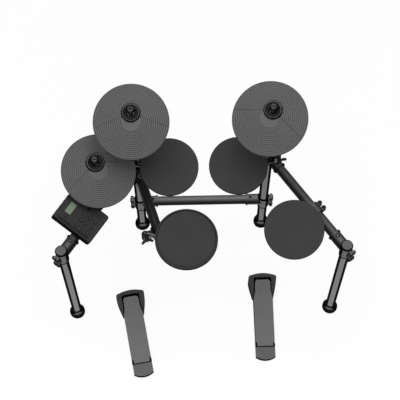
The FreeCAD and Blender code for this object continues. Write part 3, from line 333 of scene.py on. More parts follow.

# %% [markdown]
# ## Clamps
# A clamp is a black moulding with a sleeve round the level tube and a split collar round the leg. Its
# finish is painted pale on top and dark below, as painted light and shade, its upright collar mirrors the
# paper, and a black line of painted shade runs along both ends of the collar, where its edges are rounded
# off. Such a small rounding could be modelled, but it would be lost at this distance. So the finish paints
# the shade lines, at the heights where the collars end.

# %% A clamp with black lines
MM = 0.001
TUBE_SHADE_POWER = 6.0
ARM_LEVEL, CROSS_LEVEL, SNARE_LEVEL = 582.0, 212.0, 504.0
COLLAR_ENDS = ((-43.0, -36.0), (23.6, 27.5))


def shade(tree, share):
    """Multiplies the colour that a finish already has."""
    colour = tree.nodes["Principled BSDF"].inputs["Base Color"]
    plain = colour.links[0].from_socket
    tinted = place(tree, "ShaderNodeVectorMath", {0: plain, "Scale": share}, operation="SCALE")
    tree.links.new(tinted.outputs[0], colour)


def shade_lined(material):
    """The same finish, with painted shade: black at the heights where the collars on the legs end."""
    tree = material.node_tree
    height = upright_part(tree, own_place(tree))
    # Painted shade: plain is 0 on the lines where the collars end, which turns them black and dull.
    plain = 1.0
    for level, (low, high) in itertools.product((ARM_LEVEL, SNARE_LEVEL, CROSS_LEVEL), COLLAR_ENDS):
        middle, half = level + (low + high) / 2, (high - low) / 2
        off = reckon(tree, "ABSOLUTE", reckon(tree, "SUBTRACT", height, middle * MM))
        plain = reckon(tree, "MULTIPLY", plain, reckon(tree, "GREATER_THAN", off, half * MM))
    shade(tree, plain)
    weaken(tree, plain)
    return material


def clamp_moulding(name, level):
    """A clamp's black plastic, painted pale on top and falling off to painted shade below, as on a round tube."""
    plain = grained(name, grey(level), 0.26, 0.8, 0.02, side=0.03, fall=TUBE_SHADE_POWER)
    return shade_lined(dulled(plain, FULL_SHINE, index=1.55, level_shine=0.05, wall=True))


print("collars have", len(COLLAR_ENDS), "black lines at each of three levels")

# %% [markdown]
# ## Caps
# The front legs are closed by round caps, each with a flat grey face and a rounded edge that the finish
# paints black, as painted shade. A ring could be laid round the face as a piece of its own. The finish does
# the same with one distance: how far a point lies from the leg's axis. Both caps stand at the same place
# but for its sign, so one finish serves both.

# %% A cap with a black edge
LEG_AT = {"rear_left": (-231.0, 261.4), "rear_right": (231.0, 261.4),
          "front_left": (-478.0, -96.6), "front_right": (478.0, -96.6)}
CAP_FACE, CAP_ROUNDING = 0.0162, 0.001
CAP_EDGE_SHADE = 0.1


def shade_edged(material):
    """The same finish, painted black outside the flat face of a cap as painted shade, measured level and without
    signs.
    """
    tree = material.node_tree
    flat = {0: own_place(tree), 1: (1.0, 1.0, 0.0)}
    level = place(tree, "ShaderNodeVectorMath", flat, operation="MULTIPLY").outputs[0]
    unsigned = place(tree, "ShaderNodeVectorMath", {0: level}, operation="ABSOLUTE").outputs[0]
    x, y = LEG_AT["front_right"]
    axis = (abs(x) * MM, abs(y) * MM, 0.0)
    radius = place(tree, "ShaderNodeVectorMath", {0: unsigned, 1: axis}, operation="DISTANCE")
    # Painted shade: the rounded edge outside the flat face keeps a tenth of the tone.
    face = ramp(tree, radius.outputs["Value"], CAP_FACE, CAP_FACE + CAP_ROUNDING, 1.0, CAP_EDGE_SHADE)
    shade(tree, face)
    return material


print("caps are grey to", CAP_FACE, "m from the axis")

# %% [markdown]
# ## The plain finishes
# The levels were set by comparing tones with the picture, and grain and gloss follow what the pieces are
# made of: lacquered steel, moulded plastic or rubber. A library of ready materials could be used, but then
# the tones would still have to be set one by one. The bar, arms and clamps are black, and their grey tops
# that fall off to black sides are painted light from above. The cross bar and its clamps are painted
# paler than the arms, as painted light, and the snare's arm and clamps darker, as painted shade. Where a
# finish has a share side, its sideways faces are painted darker, as painted shade.

# %% Make the plain finishes
LACQUER_BLACK = 0.008


def lacquered(name, index, rough, grain_mm, relief_mm, wall=False):
    """Black lacquer, whose mirror is as strong as its index gives."""
    black = grained(name, grey(LACQUER_BLACK), rough, grain_mm, relief_mm)
    return dulled(black, FULL_SHINE, index, wall=wall)


def matt(name, level, shine, rough, grain_mm, relief_mm, **more):
    """A grained grey with a mirror of strength shine."""
    return dulled(grained(name, grey(level), rough, grain_mm, relief_mm, **more), shine)


bolt_lacquer = grained("black_bolt_lacquer", grey(0.022), 0.26, 0.8, 0.02, side=0.2)
foot_rubber = grained("foot_rubber", grey(0.008), 0.30, 1.0, 0.02, side=0.2)
# Painted light and shade: grey tops on black tubes and clamps, and sideways faces darkened by side.
finishes = {
    "tube": lacquered("black_leg_lacquer", 1.80, 0.12, 1.4, 0.006, wall=True),
    # The cross bar's grey is paler, painted light; the snare arm's is darker, painted shade.
    "bar": matt("black_bar_coating", 0.232, 0.1, 0.42, 1.4, 0.02, side=0.01, fall=TUBE_SHADE_POWER),
    "arm": matt("black_arm_coating", 0.084, 0.1, 0.42, 1.4, 0.02, side=0.02, fall=TUBE_SHADE_POWER),
    "snare_arm": matt("black_snare_arm_coating", 0.026, 0.1, 0.42, 1.4, 0.02, side=0.02, fall=TUBE_SHADE_POWER),
    "clamp": clamp_moulding("black_clamp_moulding", 0.112),
    "dark_clamp": clamp_moulding("black_snare_clamp_moulding", 0.022),
    "cross_clamp": clamp_moulding("black_cross_clamp_moulding", 0.24),
    "bolt": dulled(bolt_lacquer, 0.3, level_shine=0.2),
    "foot": necked(dulled(foot_rubber, FULL_SHINE, index=1.7, level_shine=0.05, wall=True)),
    "cap": shade_edged(matt("grey_cap_moulding", 0.098, 0.05, 0.45, 0.7, 0.04, side=0.05)),
    "post": lacquered("black_post_lacquer", 1.70, 0.16, 1.4, 0.008, wall=True),
    "rod": lacquered("dark_rod_plating", 1.65, 0.20, 1.2, 0.012),
    "nut": lacquered("black_nut_moulding", 1.50, 0.22, 0.7, 0.02),
    "head": matt("pad_rubber", 0.0375, 0.04, 0.62, 0.9, 0.08, drift=0.05, side=0.2),
    "shell": matt("pad_shell_moulding", 0.012, 0.3, 0.45, 0.8, 0.05),
    "rim": matt("hoop_rubber", 0.012, 0.3, 0.55, 0.9, 0.06),
    "case": matt("module_moulding", 0.024, 0.06, 0.46, 0.6, 0.05, side=0.2),
    "button": matt("button_silicone", 0.008, 0.17, 0.24, 0.5, 0.02, side=0.2),
    "board": matt("pedal_board_moulding", 0.148, 0.06, 0.46, 0.7, 0.04, drift=0.04, side=0.08),
}
print(len(finishes), "plain finishes")

# %% [markdown]
# ## The pedals' greys
# A pedal's heel plate has the light grey of its foot board, the hood round the toe is darker, and the hinge
# between them is black. They are one casting, so one finish holds all three tones. It could read painted
# vertex colours, but those follow the mesh's edges. Measuring how far a point lies in front of the hinge
# gives clean borders, and each pedal's joint says where its hinge is and which way it faces.

# %% Finishes of the pedal castings
HOOD_TONE, HEEL_TONE, HINGE_TONE = 0.058, 0.122, 0.010
HINGE_HALF = 0.0078


def casting_finish(name, joint):
    """Hood grey in front of the hinge, heel grey behind it, black for the width of the hinge itself."""
    # Its sideways faces keep 0.06 of the tone, as painted shade.
    material = matt(name, HOOD_TONE, 0.05, 0.48, 0.7, 0.04, drift=0.05, side=0.06)
    tree = material.node_tree
    ahead = Vector((0, 0, 1)).cross(Vector(joint["axis"]))
    start = Vector(joint["pos_m"]).dot(ahead)
    along = place(tree, "ShaderNodeVectorMath", {0: own_place(tree), 1: ahead}, operation="DOT_PRODUCT")
    forward = reckon(tree, "SUBTRACT", along.outputs["Value"], start)
    behind = reckon(tree, "LESS_THAN", forward, 0.0)
    lift = ramp(tree, behind, 0.0, 1.0, 1.0, HEEL_TONE / HOOD_TONE)
    off_hinge = reckon(tree, "GREATER_THAN", reckon(tree, "ABSOLUTE", forward), HINGE_HALF)
    hinge = ramp(tree, off_hinge, 0.0, 1.0, HINGE_TONE / HEEL_TONE, 1.0)
    shade(tree, reckon(tree, "MULTIPLY", lift, hinge))
    return material


castings = {f"{name}_pedal_base": casting_finish(f"{name}_pedal_casting", joints[f"{name}_board_press"])
            for name in ("kick", "hihat")}
print("pedal castings:", sorted(castings))

# %% [markdown]
# ## The display
# The module's display is a grey-green liquid crystal behind a clear window, switched off. Close up it
# has a fine mesh of cells. A pane of glass could be modelled over it, but a thin clear coat on the finish
# stands for the window and costs nothing, and the mesh is a Voronoi pattern without any randomness.

# %% Finish of the display
CELL_MM = 0.55
DISPLAY_GREEN = (0.136, 0.174, 0.122)
DISPLAY_SURFACE = {"Roughness": 0.4, "Specular IOR Level": 0.05, "Coat Weight": 0.04, "Coat Roughness": 0.08}
display, tree, surface = new_finish("grey_green_display")
cells = place(tree, "ShaderNodeTexVoronoi", {
    "Vector": own_place(tree), "Scale": MM_PER_M / CELL_MM, "Randomness": 0.0})
cell_tone = ramp(tree, cells.outputs["Distance"], 0.2, 0.6, 1.04, 0.92)
display_colour = {0: DISPLAY_GREEN, "Scale": cell_tone}
display_colour = place(tree, "ShaderNodeVectorMath", display_colour, operation="SCALE").outputs[0]
tree.links.new(display_colour, surface.inputs["Base Color"])
for socket, amount in DISPLAY_SURFACE.items():
    surface.inputs[socket].default_value = amount
finishes["screen"] = display
print("display cells", CELL_MM, "mm")

# %% [markdown]
# ## Cymbal rubber
# A cymbal pad is a plastic disc under grey rubber. Fine grooves run round it like those of a cast cymbal,
# and two thin lines fan out from the collar to mark the part that senses a stroke. The grooves are painted
# darker than the lands, as painted shade, and the rim's sideways faces too. A baked picture could hold
# that, but the finish can also reckon it from the same ring spacing that the surface has. It reads the
# disc's own map, which holds each point's place on the disc in millimetres.

# %% Finish of the cymbals
GROOVE_PITCH, GROOVE_HALF = 6.7, 1.3
FIRST_GROOVE, LAST_GROOVE = 34.0, 121.0
GROOVE_SHADE, GROOVE_SPREAD = 0.45, 1.15
COLLAR_BACK = 28.0
ZONE_ANGLE = math.radians(69.0)
ZONE_HALF, ZONE_SHARE = 0.7, 0.3


def groove_shade_share(tree, spot):
    """Share of the tone that the painted shade leaves in the ring grooves: least in a groove's middle, 1 on the
    lands.
    """
    radius = place(tree, "ShaderNodeVectorMath", {0: spot}, operation="LENGTH").outputs["Value"]
    count = reckon(tree, "DIVIDE", reckon(tree, "SUBTRACT", radius, FIRST_GROOVE), GROOVE_PITCH)
    off = reckon(tree, "ABSOLUTE", reckon(tree, "SUBTRACT", count, reckon(tree, "ROUND", count)))
    edge = GROOVE_SPREAD * GROOVE_HALF / GROOVE_PITCH
    share = ramp(tree, off, 0.0, edge, GROOVE_SHADE, 1.0, smooth=True)
    inside = reckon(tree, "LESS_THAN", radius, FIRST_GROOVE - GROOVE_HALF)
    outside = reckon(tree, "GREATER_THAN", radius, LAST_GROOVE + GROOVE_HALF)
    return reckon(tree, "MAXIMUM", share, reckon(tree, "MAXIMUM", inside, outside))


def zone_share(tree, spot):
    """Share of the tone left on the two lines that leave the collar's middle at an angle to the front."""
    parts = place(tree, "ShaderNodeSeparateXYZ", {0: spot}).outputs
    side = reckon(tree, "ABSOLUTE", parts["X"])
    front = reckon(tree, "SUBTRACT", COLLAR_BACK, parts["Y"])
    apart = reckon(tree, "SUBTRACT", reckon(tree, "MULTIPLY", side, math.cos(ZONE_ANGLE)),
                   reckon(tree, "MULTIPLY", front, math.sin(ZONE_ANGLE)))
    beside = reckon(tree, "GREATER_THAN", reckon(tree, "ABSOLUTE", apart), ZONE_HALF)
    return ramp(tree, beside, 0.0, 1.0, ZONE_SHARE, 1.0)


# Sideways faces of the rim keep 0.3 of the tone, as painted shade.
cymbal_rubber = matt("cymbal_rubber", 0.091, 0.1, 0.55, 0.9, 0.06, drift=0.04, side=0.3)
tree = cymbal_rubber.node_tree
disc_spot = place(tree, "ShaderNodeUVMap", uv_map="disc_place").outputs[0]
# Painted shade in the grooves; the two zone lines are the pad's own marks.
shade(tree, reckon(tree, "MULTIPLY", groove_shade_share(tree, disc_spot), zone_share(tree, disc_spot)))
finishes["cymbal"] = cymbal_rubber
print("cymbal grooves every", GROOVE_PITCH, "mm")

# %% [markdown]
# ## Finishes for the solids
# The record names a material for each solid, and a loop looks up its finish. A few solids have one of
# their own: the cross bar, the arms, some clamps and the pedals' castings. The cross bar and its clamps
# have a paler copy of the black, as painted light, and the snare's arm, clamp and rod holders a darker one,
# as painted shade. Materials could be dropped on the pieces one by one, but a loop forgets none.

# %% Give each solid its finish
OWN_FINISH = {"cross_bar": "bar", "side_arm_left": "arm", "side_arm_right": "arm", "snare_arm": "snare_arm",
              "cross_tees": "cross_clamp", "snare_tee": "dark_clamp", "rod_holders": "dark_clamp"}
for row in frame["record"]["subparts"]:
    finish = castings.get(row["node"]) or finishes[OWN_FINISH.get(row["node"], row["material_slot"])]
    for held in frame["nodes"][row["node"]].material_slots:
        held.material = finish

# %% [markdown]
# ## Surfaces from grids
# Every new piece is a grid of points worked out by a formula for whole arrays, with a face between each
# four neighbours. Modifiers such as Screw could turn a section too, but a formula says exactly where each
# point is. Points that fall together at a pole or a seam are welded, so that each piece closes.

# %% Helpers for grids
def grid_faces(rows, columns, ring=False):
    """Faces of a grid that closes across its columns, and across its rows too when ring is set."""
    i = np.arange(rows if ring else rows - 1)[:, None]
    j = np.arange(columns)[None, :]
    below, right = (i + 1) % rows, (j + 1) % columns
    corners = [i * columns + j, i * columns + right, below * columns + right, below * columns + j]
    return np.stack(corners, axis=-1).reshape(-1, 4)


def turned(section, steps=96, ring=False):
    """Surface of turning: p(i, t) = (r_i cos t, r_i sin t, z_i), t round the axis; ring joins both ends."""
    r, z = np.asarray(section, float).T
    t = np.linspace(0, 2 * np.pi, steps, endpoint=False)
    points = np.stack([np.outer(r, np.cos(t)), np.outer(r, np.sin(t)), np.outer(z, np.ones(steps))], axis=-1)
    return points.reshape(-1, 3), grid_faces(len(r), steps, ring)


def set_at(shape, turn, origin):
    points, faces = shape
    return points @ np.asarray(turn).T + np.asarray(origin), faces


print("a turned square ring has", len(turned([(1, 0), (2, 0), (2, 1), (1, 1)], ring=True)[1]), "faces")

# %% [markdown]
# It could be made a child of that body by hand. Here each piece is handed over with the name of its
# body and of its material, and stays at the origin with its points already in place. Pieces that tilt
# take their place and angle from their joint.

# %% Helpers for pieces
def piece(name, shapes, finish, body, crease=35.0):
    """One object from several shapes in millimetres: welded, smooth but for creases, riding a body."""
    starts = np.cumsum([0] + [len(points) for points, _ in shapes])
    points = np.concatenate([points for points, _ in shapes]) * MM
    faces = np.concatenate([faces + start for (_, faces), start in zip(shapes, starts)])
    mesh = bpy.data.meshes.new(name)
    mesh.from_pydata(points.tolist(), [], faces.tolist())
    weld = bmesh.new()
    weld.from_mesh(mesh)
    bmesh.ops.remove_doubles(weld, verts=weld.verts, dist=1e-6)
    weld.to_mesh(mesh)
    weld.free()
    mesh.shade_smooth()
    mesh.set_sharp_from_angle(angle=math.radians(crease))
    mesh.materials.append(finishes[finish])
    made = bpy.data.objects.new(name, mesh)
    scene.collection.objects.link(made)
    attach(made, body)
    return made


def own_frame(joint, slope):
    """Turn and centre of a tilting piece: x along its hinge, z out of its face, which slopes by slope."""
    along = np.array(joints[joint]["axis"])
    up = np.array([0.0, 0.0, 1.0])
    level = np.cross(up, along)
    c, s = math.cos(math.radians(slope)), math.sin(math.radians(slope))
    turn = np.stack([along, level * c + up * s, up * c - level * s], axis=1)
    return turn, np.array(joints[joint]["pos_m"]) / MM


CYMBALS = {"crash": 22.0, "ride": 20.0, "hihat": 18.0}
cymbal_frames = {name: own_frame(f"{name}_sway", slope) for name, slope in CYMBALS.items()}
print("cymbal pivots in mm:", {name: np.round(pivot).tolist() for name, (_, pivot) in cymbal_frames.items()})

# %% [markdown]
# ## Section of a cymbal
# A cymbal pad is turned: a flat middle, a shallow cone, a round rim and a hollow underside. The grooves
# could be left to a bump in the finish, but real ones also show at the rim and in raking light. So they
# are part of the half section, and one turn makes them all.

# %% Half section of a cymbal
CYMBAL_R, EDGE_R, FLAT_R = 125.0, 2.5, 31.0
TOP_Z, RIM_Z = 4.5, -11.0
GROOVE_DEPTH = 0.7


def cymbal_section():
    """Half section (r, z) from below: hollow cone, half-round rim, cone lowered by V grooves, flat top."""
    cone_r = CYMBAL_R - EDGE_R
    under_r = np.linspace(0, cone_r, 30)
    under_z = np.interp(under_r, [0, FLAT_R, cone_r], [-TOP_Z, -TOP_Z, RIM_Z - EDGE_R])
    bend = np.linspace(-np.pi / 2, np.pi / 2, 13)[1:-1]
    top_r = np.linspace(cone_r, 0, 270)
    top_z = np.interp(top_r, [0, FLAT_R, cone_r], [TOP_Z, TOP_Z, RIM_Z + EDGE_R])
    count = (top_r - FIRST_GROOVE) / GROOVE_PITCH
    off = np.abs(count - np.round(count)) * GROOVE_PITCH
    cut = (top_r > FIRST_GROOVE - GROOVE_HALF) & (top_r < LAST_GROOVE + GROOVE_HALF)
    top_z = top_z - GROOVE_DEPTH * np.clip(1 - off / GROOVE_HALF, 0, 1) * cut
    r = np.concatenate([under_r, cone_r + EDGE_R * np.cos(bend), top_r])
    z = np.concatenate([under_z, RIM_Z + EDGE_R * np.sin(bend), top_z])
    return np.stack([r, z], axis=1)


print("cymbal section of", len(cymbal_section()), "points")

# %% [markdown]
# ## Cymbal discs
# The hole for the post lies behind the disc's middle, so the disc hangs tilted to the front. Turning
# can't make a hole off the axis. Points could be pulled aside round it, but a Boolean cut, applied at
# once, leaves a clean edge. Each corner's place on the disc is then written to the map that the rubber's
# finish reads.

# %% Turn and drill the cymbals
DRILL_R, DRILL_HALF = 24.0, 20.0
DRILL_SECTION = [(0, -DRILL_HALF), (DRILL_R, -DRILL_HALF), (DRILL_R, DRILL_HALF), (0, DRILL_HALF)]
DISC_STEPS, DISC_CREASE = 180, 60


def drill(made, shape):
    """Cuts a closed shape out of a piece and keeps the result as its mesh."""
    points, faces = shape
    bit_mesh = bpy.data.meshes.new("drill_bit")
    bit_mesh.from_pydata((points * MM).tolist(), [], faces.tolist())
    bit = bpy.data.objects.new("drill_bit", bit_mesh)
    scene.collection.objects.link(bit)
    cut = made.modifiers.new("hole", "BOOLEAN")
    cut.operation = "DIFFERENCE"
    cut.solver = "EXACT"
    cut.object = bit
    drilled = bpy.data.meshes.new_from_object(made.evaluated_get(bpy.context.evaluated_depsgraph_get()))
    made.modifiers.clear()
    made.data = drilled
    drilled.name = made.name
    bpy.data.objects.remove(bit)
    bpy.data.meshes.remove(bit_mesh)


def map_places(made, turn, middle):
    """Writes each corner's place on the disc, in millimetres from its middle, to the map disc_place."""
    mesh = made.data
    points = np.empty(len(mesh.vertices) * 3)
    mesh.vertices.foreach_get("co", points)
    own = (points.reshape(-1, 3) / MM - middle) @ turn
    corners = np.empty(len(mesh.loops), dtype=np.int32)
    mesh.loops.foreach_get("vertex_index", corners)
    places = mesh.uv_layers.new(name="disc_place")
    places.uv.foreach_set("vector", own[corners, :2].astype(np.float32).ravel())


for name, (turn, pivot) in cymbal_frames.items():
    middle = pivot - turn[:, 1] * COLLAR_BACK
    blank = set_at(turned(cymbal_section(), DISC_STEPS), turn, middle)
    disc = piece(f"{name}_disc", [blank], "cymbal", name, DISC_CREASE)
    drill(disc, set_at(turned(DRILL_SECTION), turn, pivot))
    map_places(disc, turn, middle)
    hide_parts(f"{name}_cymbal")
    print(disc.name, len(disc.data.polygons), "faces")

# %% [markdown]
# ## Collars and cups
# The hole has a black collar with a rounded lip, and inside it a cup of soft black rubber that rests on
# the post's ball. A bevelled cylinder would come close, but the lip bends more on one side than on the
# other, so both are closed rings turned from their own sections about the post's pivot.

# %% Turn the collars and cups
COLLAR_RING = [(24.0, -5.6), (31.0, -7.0), (32.0, -6.2), (32.0, 3.0), (31.4, 6.0), (30.2, 9.2), (28.8, 11.8),
               (27.4, 13.4), (26.2, 13.9), (25.2, 13.5), (24.6, 12.2), (24.2, 8.0), (24.0, 5.0)]
CUP_RING = [(10.4, -4.0), (12.0, -4.8), (24.2, -4.8), (24.4, 3.0), (24.0, 5.4), (21.0, 4.9), (13.0, 4.6),
            (11.2, 4.2), (10.4, 3.2)]
RING_STEPS = 120
# The collar is black plastic; its finish paints the upper faces grey, as painted light on the lip, and the sides
# black, as painted shade.
finishes["collar"] = matt("collar_moulding", 0.085, 0.1, 0.30, 0.8, 0.02, side=0.04)
finishes["cup"] = matt("cup_rubber", 0.005, 0.1, 0.5, 0.9, 0.06)
for name, (turn, pivot) in cymbal_frames.items():
    lip = set_at(turned(COLLAR_RING, RING_STEPS, True), turn, pivot)
    ring = piece(f"{name}_collar_ring", [lip], "collar", name)
    bowl = set_at(turned(CUP_RING, RING_STEPS, True), turn, pivot)
    cup = piece(f"{name}_cup", [bowl], "cup", name)
    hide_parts(f"{name}_cymbal")
    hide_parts(f"{name}_cymbal")
print(len(cymbal_frames), "collars and cups")

# %% [markdown]
# ## Sleeve screws
# A screw through the top of each clamp's sleeve keeps the tube from sliding out, and sits in a raised round
# seat. On the wings it is grey steel in a black seat, and on the rack black steel in a seat whose top is
# painted light grey, as a painted highlight. Its head has a six-sided socket, which could be cut with a
# Boolean. It is easier to let two inner rings of the head's grid follow a hexagon and not a circle.

# %% A screw with a six-sided socket
HEAD_R, SOCKET_R = 4.4, 2.1
SCREW_SECTION = [(0, -5), (HEAD_R, -5), (HEAD_R, 0.2), (4.1, 0.7), (3.3, 1.0), (2.6, 1.05),
                 (SOCKET_R, 0.95), (SOCKET_R, 0.4), (0, 0.35)]


def socket_screw(steps=48):
    """Turned head; the rings of its socket have the radius of a hexagon, a / cos(t mod 60 deg - 30 deg)."""
    section = np.array(SCREW_SECTION, float)
    hexed = np.where(section[:, :1] == SOCKET_R, 1.0, 0.0)
    t = np.linspace(0, 2 * np.pi, steps, endpoint=False)
    flat = 1 / np.cos(np.mod(t, np.pi / 3) - np.pi / 6)
    r = section[:, :1] * (1 + hexed * (flat[None, :] * math.cos(math.pi / 6) - 1))
    points = np.stack([r * np.cos(t), r * np.sin(t), np.broadcast_to(section[:, 1:], r.shape)], axis=-1)
    return points.reshape(-1, 3), grid_faces(len(section), steps)


print("screw head of", len(socket_screw()[1]), "faces")

# %% [markdown]
# ## Screws on their sleeves
# Each sleeve starts at a leg and runs along its tube, so a screw's place is the leg's axis, a fixed way out
# along the tube, and the height of the sleeve's top. The screws of one body are one piece, which keeps the
# list of pieces short.

# %% Set the screws and their seats
SEAT_RING = [(4.7, -5.0), (7.6, -5.0), (7.6, 0.9), (7.0, 1.6), (5.3, 1.6), (4.7, 1.0)]
SEAT_STEPS = 64
SCREW_OUT = 49.0
SLEEVE_TOP = 20.3
ARM_LEFT, ARM_RIGHT = np.array([-0.56789, -0.82310]), np.array([0.56789, -0.82310])
SNARE_WAY = np.array([0.28569, -0.95832])
BAR_WAY = np.array([1.0, 0.0])
SLEEVES = {
    "rack": [("rear_left", BAR_WAY, CROSS_LEVEL), ("rear_right", -BAR_WAY, CROSS_LEVEL),
             ("rear_left", SNARE_WAY, SNARE_LEVEL)],
    "left_wing": [("rear_left", ARM_LEFT, ARM_LEVEL), ("front_left", -ARM_LEFT, ARM_LEVEL)],
    "right_wing": [("rear_right", ARM_RIGHT, ARM_LEVEL), ("front_right", -ARM_RIGHT, ARM_LEVEL)],
}
finishes["screw"] = matt("grey_steel_screw", 0.12, 0.1, 0.32, 0.6, 0.02, side=0.05)
finishes["seat"] = matt("screw_seat_moulding", 0.012, 0.1, 0.38, 0.8, 0.03, side=0.3)
finishes["black_screw"] = matt("black_steel_screw", 0.006, 0.05, 0.32, 0.6, 0.02)
# Painted highlight: the rack's seats are grey on top, and black on their sides as painted shade.
finishes["light_seat"] = matt("light_seat_moulding", 0.26, 0.1, 0.38, 0.8, 0.03, side=0.05)
upright = np.eye(3)
for body, sleeves in SLEEVES.items():
    places = [(*(np.array(LEG_AT[leg]) + way * SCREW_OUT), level + SLEEVE_TOP)
              for leg, way, level in sleeves]
    screw_finish, seat_finish = ("black_screw", "light_seat") if body == "rack" else ("screw", "seat")
    screws = [set_at(socket_screw(), upright, spot) for spot in places]
    piece(f"{body}_sleeve_screws", screws, screw_finish, body)
    seats = [set_at(turned(SEAT_RING, SEAT_STEPS, True), upright, spot) for spot in places]
    piece(f"{body}_screw_seats", seats, seat_finish, body)
    print(body, len(places), "sleeve screws")

# %% [markdown]
# ## Jack nuts
# A cable's jack is held by a ring nut, one under each pad and four on the module's back edge. A torus
# would be too round, so they are turned from a small section with one edge cut off. Bare metal has a
# grain but no fading mirror.

# %% Nuts round the jacks
NUT_RING = [(3.3, -1.0), (5.6, -1.0), (5.6, 0.9), (5.0, 1.5), (3.9, 1.5), (3.3, 1.0)]
NUT_STEPS = 48
PADS = {"tom_left": 14.0, "tom_right": 14.0, "floor_tom": 15.0, "snare": 4.0}
HUB_DROP, PAD_T, BOSS_H, JACK_BACK = 46.0, 30.0, 7.0, 41.0
MODULE_TILT, MODULE_OUT, MODULE_DROP = 19.0, 15.5, 52.0
BACK_EDGE, JACK_LOW = 77.5, -19.0
MODULE_JACKS = (-30, -10, 10, 30)
finishes["jack_nut"] = grained("bright_jack_nut", (0.55, 0.55, 0.54), 0.28, 0.6, 0.02)
finishes["jack_nut"].node_tree.nodes["Principled BSDF"].inputs["Metallic"].default_value = 1.0
nut = turned(NUT_RING, NUT_STEPS, True)
upside_down = np.diag([1.0, -1.0, -1.0])
for name, slope in PADS.items():
    turn, hub = own_frame(f"{name}_tilt", slope)
    mouth = hub + turn @ np.array([0.0, JACK_BACK, HUB_DROP - PAD_T - BOSS_H])
    piece(f"{name}_jack_nut", [set_at(nut, turn @ upside_down, mouth)], "jack_nut", name)
module_turn, module_hinge = own_frame("module_tilt", MODULE_TILT)
module_top = module_hinge + module_turn @ np.array([0.0, MODULE_OUT, MODULE_DROP])
facing_back = module_turn @ np.array([[-1.0, 0.0, 0.0], [0.0, 0.0, 1.0], [0.0, 1.0, 0.0]])
mouths = [module_top + module_turn @ np.array([x, BACK_EDGE, JACK_LOW]) for x in MODULE_JACKS]
nuts = [set_at(nut, facing_back, mouth) for mouth in mouths]
piece("module_jack_nuts", nuts, "jack_nut", "module")
print("jack nuts on", len(PADS), "pads and", len(nuts), "on the module")

# %% [markdown]
# ## Frame of the display
# A raised frame runs round the display and holds its window. A curve with a bevel profile would give it
# too. A small section swept round a rounded rectangle does so in one formula, with no curve to convert.

# %% Display frame
DISPLAY_HALF_W, DISPLAY_HALF_L, DISPLAY_CORNER = 21.6, 12.1, 1.6
DISPLAY_Y = 43.5
FRAME_SECTION = [(-0.9, -0.6), (1.3, -0.6), (1.3, 0.3), (0.8, 0.8), (-0.3, 0.8), (-0.9, 0.2)]


def rounded_frame(half_w, half_l, corner, section, steps=12):
    """Section swept round a rounded rectangle: p(s, k) = path(s) + a_k n(s) + b_k z, n pointing outwards."""
    quarter = np.linspace(0, np.pi / 2, steps)
    angles = np.concatenate([quarter + k * np.pi / 2 for k in range(4)])
    centre_x = np.repeat([1, -1, -1, 1], steps) * (half_w - corner)
    centre_y = np.repeat([1, 1, -1, -1], steps) * (half_l - corner)
    n = np.stack([np.cos(angles), np.sin(angles)], axis=1)
    path = np.stack([centre_x, centre_y], axis=1) + corner * n
    out, up = np.asarray(section, float).T
    flat = path[None] + out[:, None, None] * n[None]
    points = np.concatenate([flat, np.broadcast_to(up[:, None, None], flat.shape[:2] + (1,))], axis=-1)
    return points.reshape(-1, 3), grid_faces(len(out), len(path), True)


flat_frame = rounded_frame(DISPLAY_HALF_W, DISPLAY_HALF_L, DISPLAY_CORNER, FRAME_SECTION)
display_middle = module_top + module_turn @ np.array([0.0, DISPLAY_Y, 0.0])
piece("display_frame", [set_at(flat_frame, module_turn, display_middle)], "case", "module")
print("display frame of", len(flat_frame[1]), "faces")

# %% [markdown]
# ## Ribs of the module
# Two fine ribs run down the left side of the case. A stretched and squashed ball would have pointed ends.
# So a rib is a ball whose sines and cosines are raised to a small power, which makes it a long bead with
# blunt ends, closed on all sides and half sunk in the case.

# %% Ribs on the case
RIB_LENGTH, RIB_WIDTH, RIB_HEIGHT = 124.0, 2.4, 0.8
RIB_PLACES = (-50.5, -46.5)
RIB_POWER = 0.25
RIB_CREASE = 80


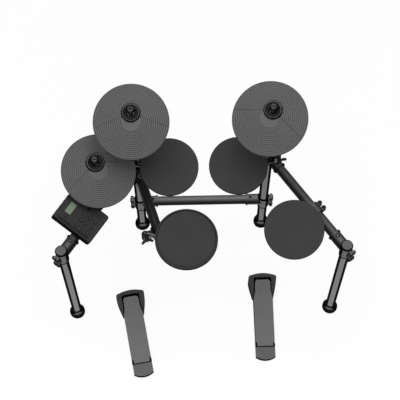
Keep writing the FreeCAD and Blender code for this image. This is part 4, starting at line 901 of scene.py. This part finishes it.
def bead(length, width, height, rows=40, columns=24):
    """Long closed bead: x = w/2 c cos v, y = l/2 s, z = h c sin v, v round it and u along it.

    Here c and s are the cosine and sine of u raised to a small power, which squares off the ends.
    """
    u = np.linspace(-np.pi / 2, np.pi / 2, rows)
    v = np.linspace(0, 2 * np.pi, columns, endpoint=False)
    c = np.abs(np.cos(u)) ** RIB_POWER
    c[[0, -1]] = 0.0
    s = np.sign(np.sin(u)) * np.abs(np.sin(u)) ** RIB_POWER
    points = np.stack([np.outer(c, np.cos(v)) * width / 2, np.outer(s, np.ones(columns)) * length / 2,
                       np.outer(c, np.sin(v)) * height], axis=-1)
    return points.reshape(-1, 3), grid_faces(rows, columns)[:, ::-1]


finishes["rib"] = matt("module_rib_moulding", 0.006, 0.05, 0.4, 0.6, 0.03)
rib = bead(RIB_LENGTH, RIB_WIDTH, RIB_HEIGHT)
ribs = [set_at(rib, module_turn, module_top + module_turn @ np.array([x, 0.0, 0.0])) for x in RIB_PLACES]
piece("module_ribs", ribs, "rib", "module", RIB_CREASE)
print(len(ribs), "ribs")

# %% [markdown]
# ## Plug of the snare arm
# The snare arm ends in the open, and its bore is closed by a domed plug, pushed in until its lip meets
# the tube. Half a ball would do from afar. It is turned from a section that also has the lip and the part
# inside the tube, and then laid along the arm.

# %% Plug in the snare arm's end
PLUG = [(0, -8), (15.6, -8), (15.8, -0.2), (17.4, -0.2), (17.4, 1.2), (16.4, 2.4), (13.0, 3.2), (7.0, 3.6),
        (0, 3.7)]
PLUG_STEPS = 64
SNARE_REACH = 296.0
way = np.array([*SNARE_WAY, 0.0])
side = np.array([-way[1], way[0], 0.0])
plug_turn = np.stack([side, np.array([0.0, 0.0, 1.0]), way], axis=1)
plug_at = np.array([*LEG_AT["rear_left"], SNARE_LEVEL]) + way * SNARE_REACH
plug = set_at(turned(PLUG, PLUG_STEPS), plug_turn, plug_at)
# The plug takes the snare clamps' darker copy of the black, which is painted shade.
piece("snare_arm_plug", [plug], "dark_clamp", "rack")
print("plug at", np.round(plug_at, 1))
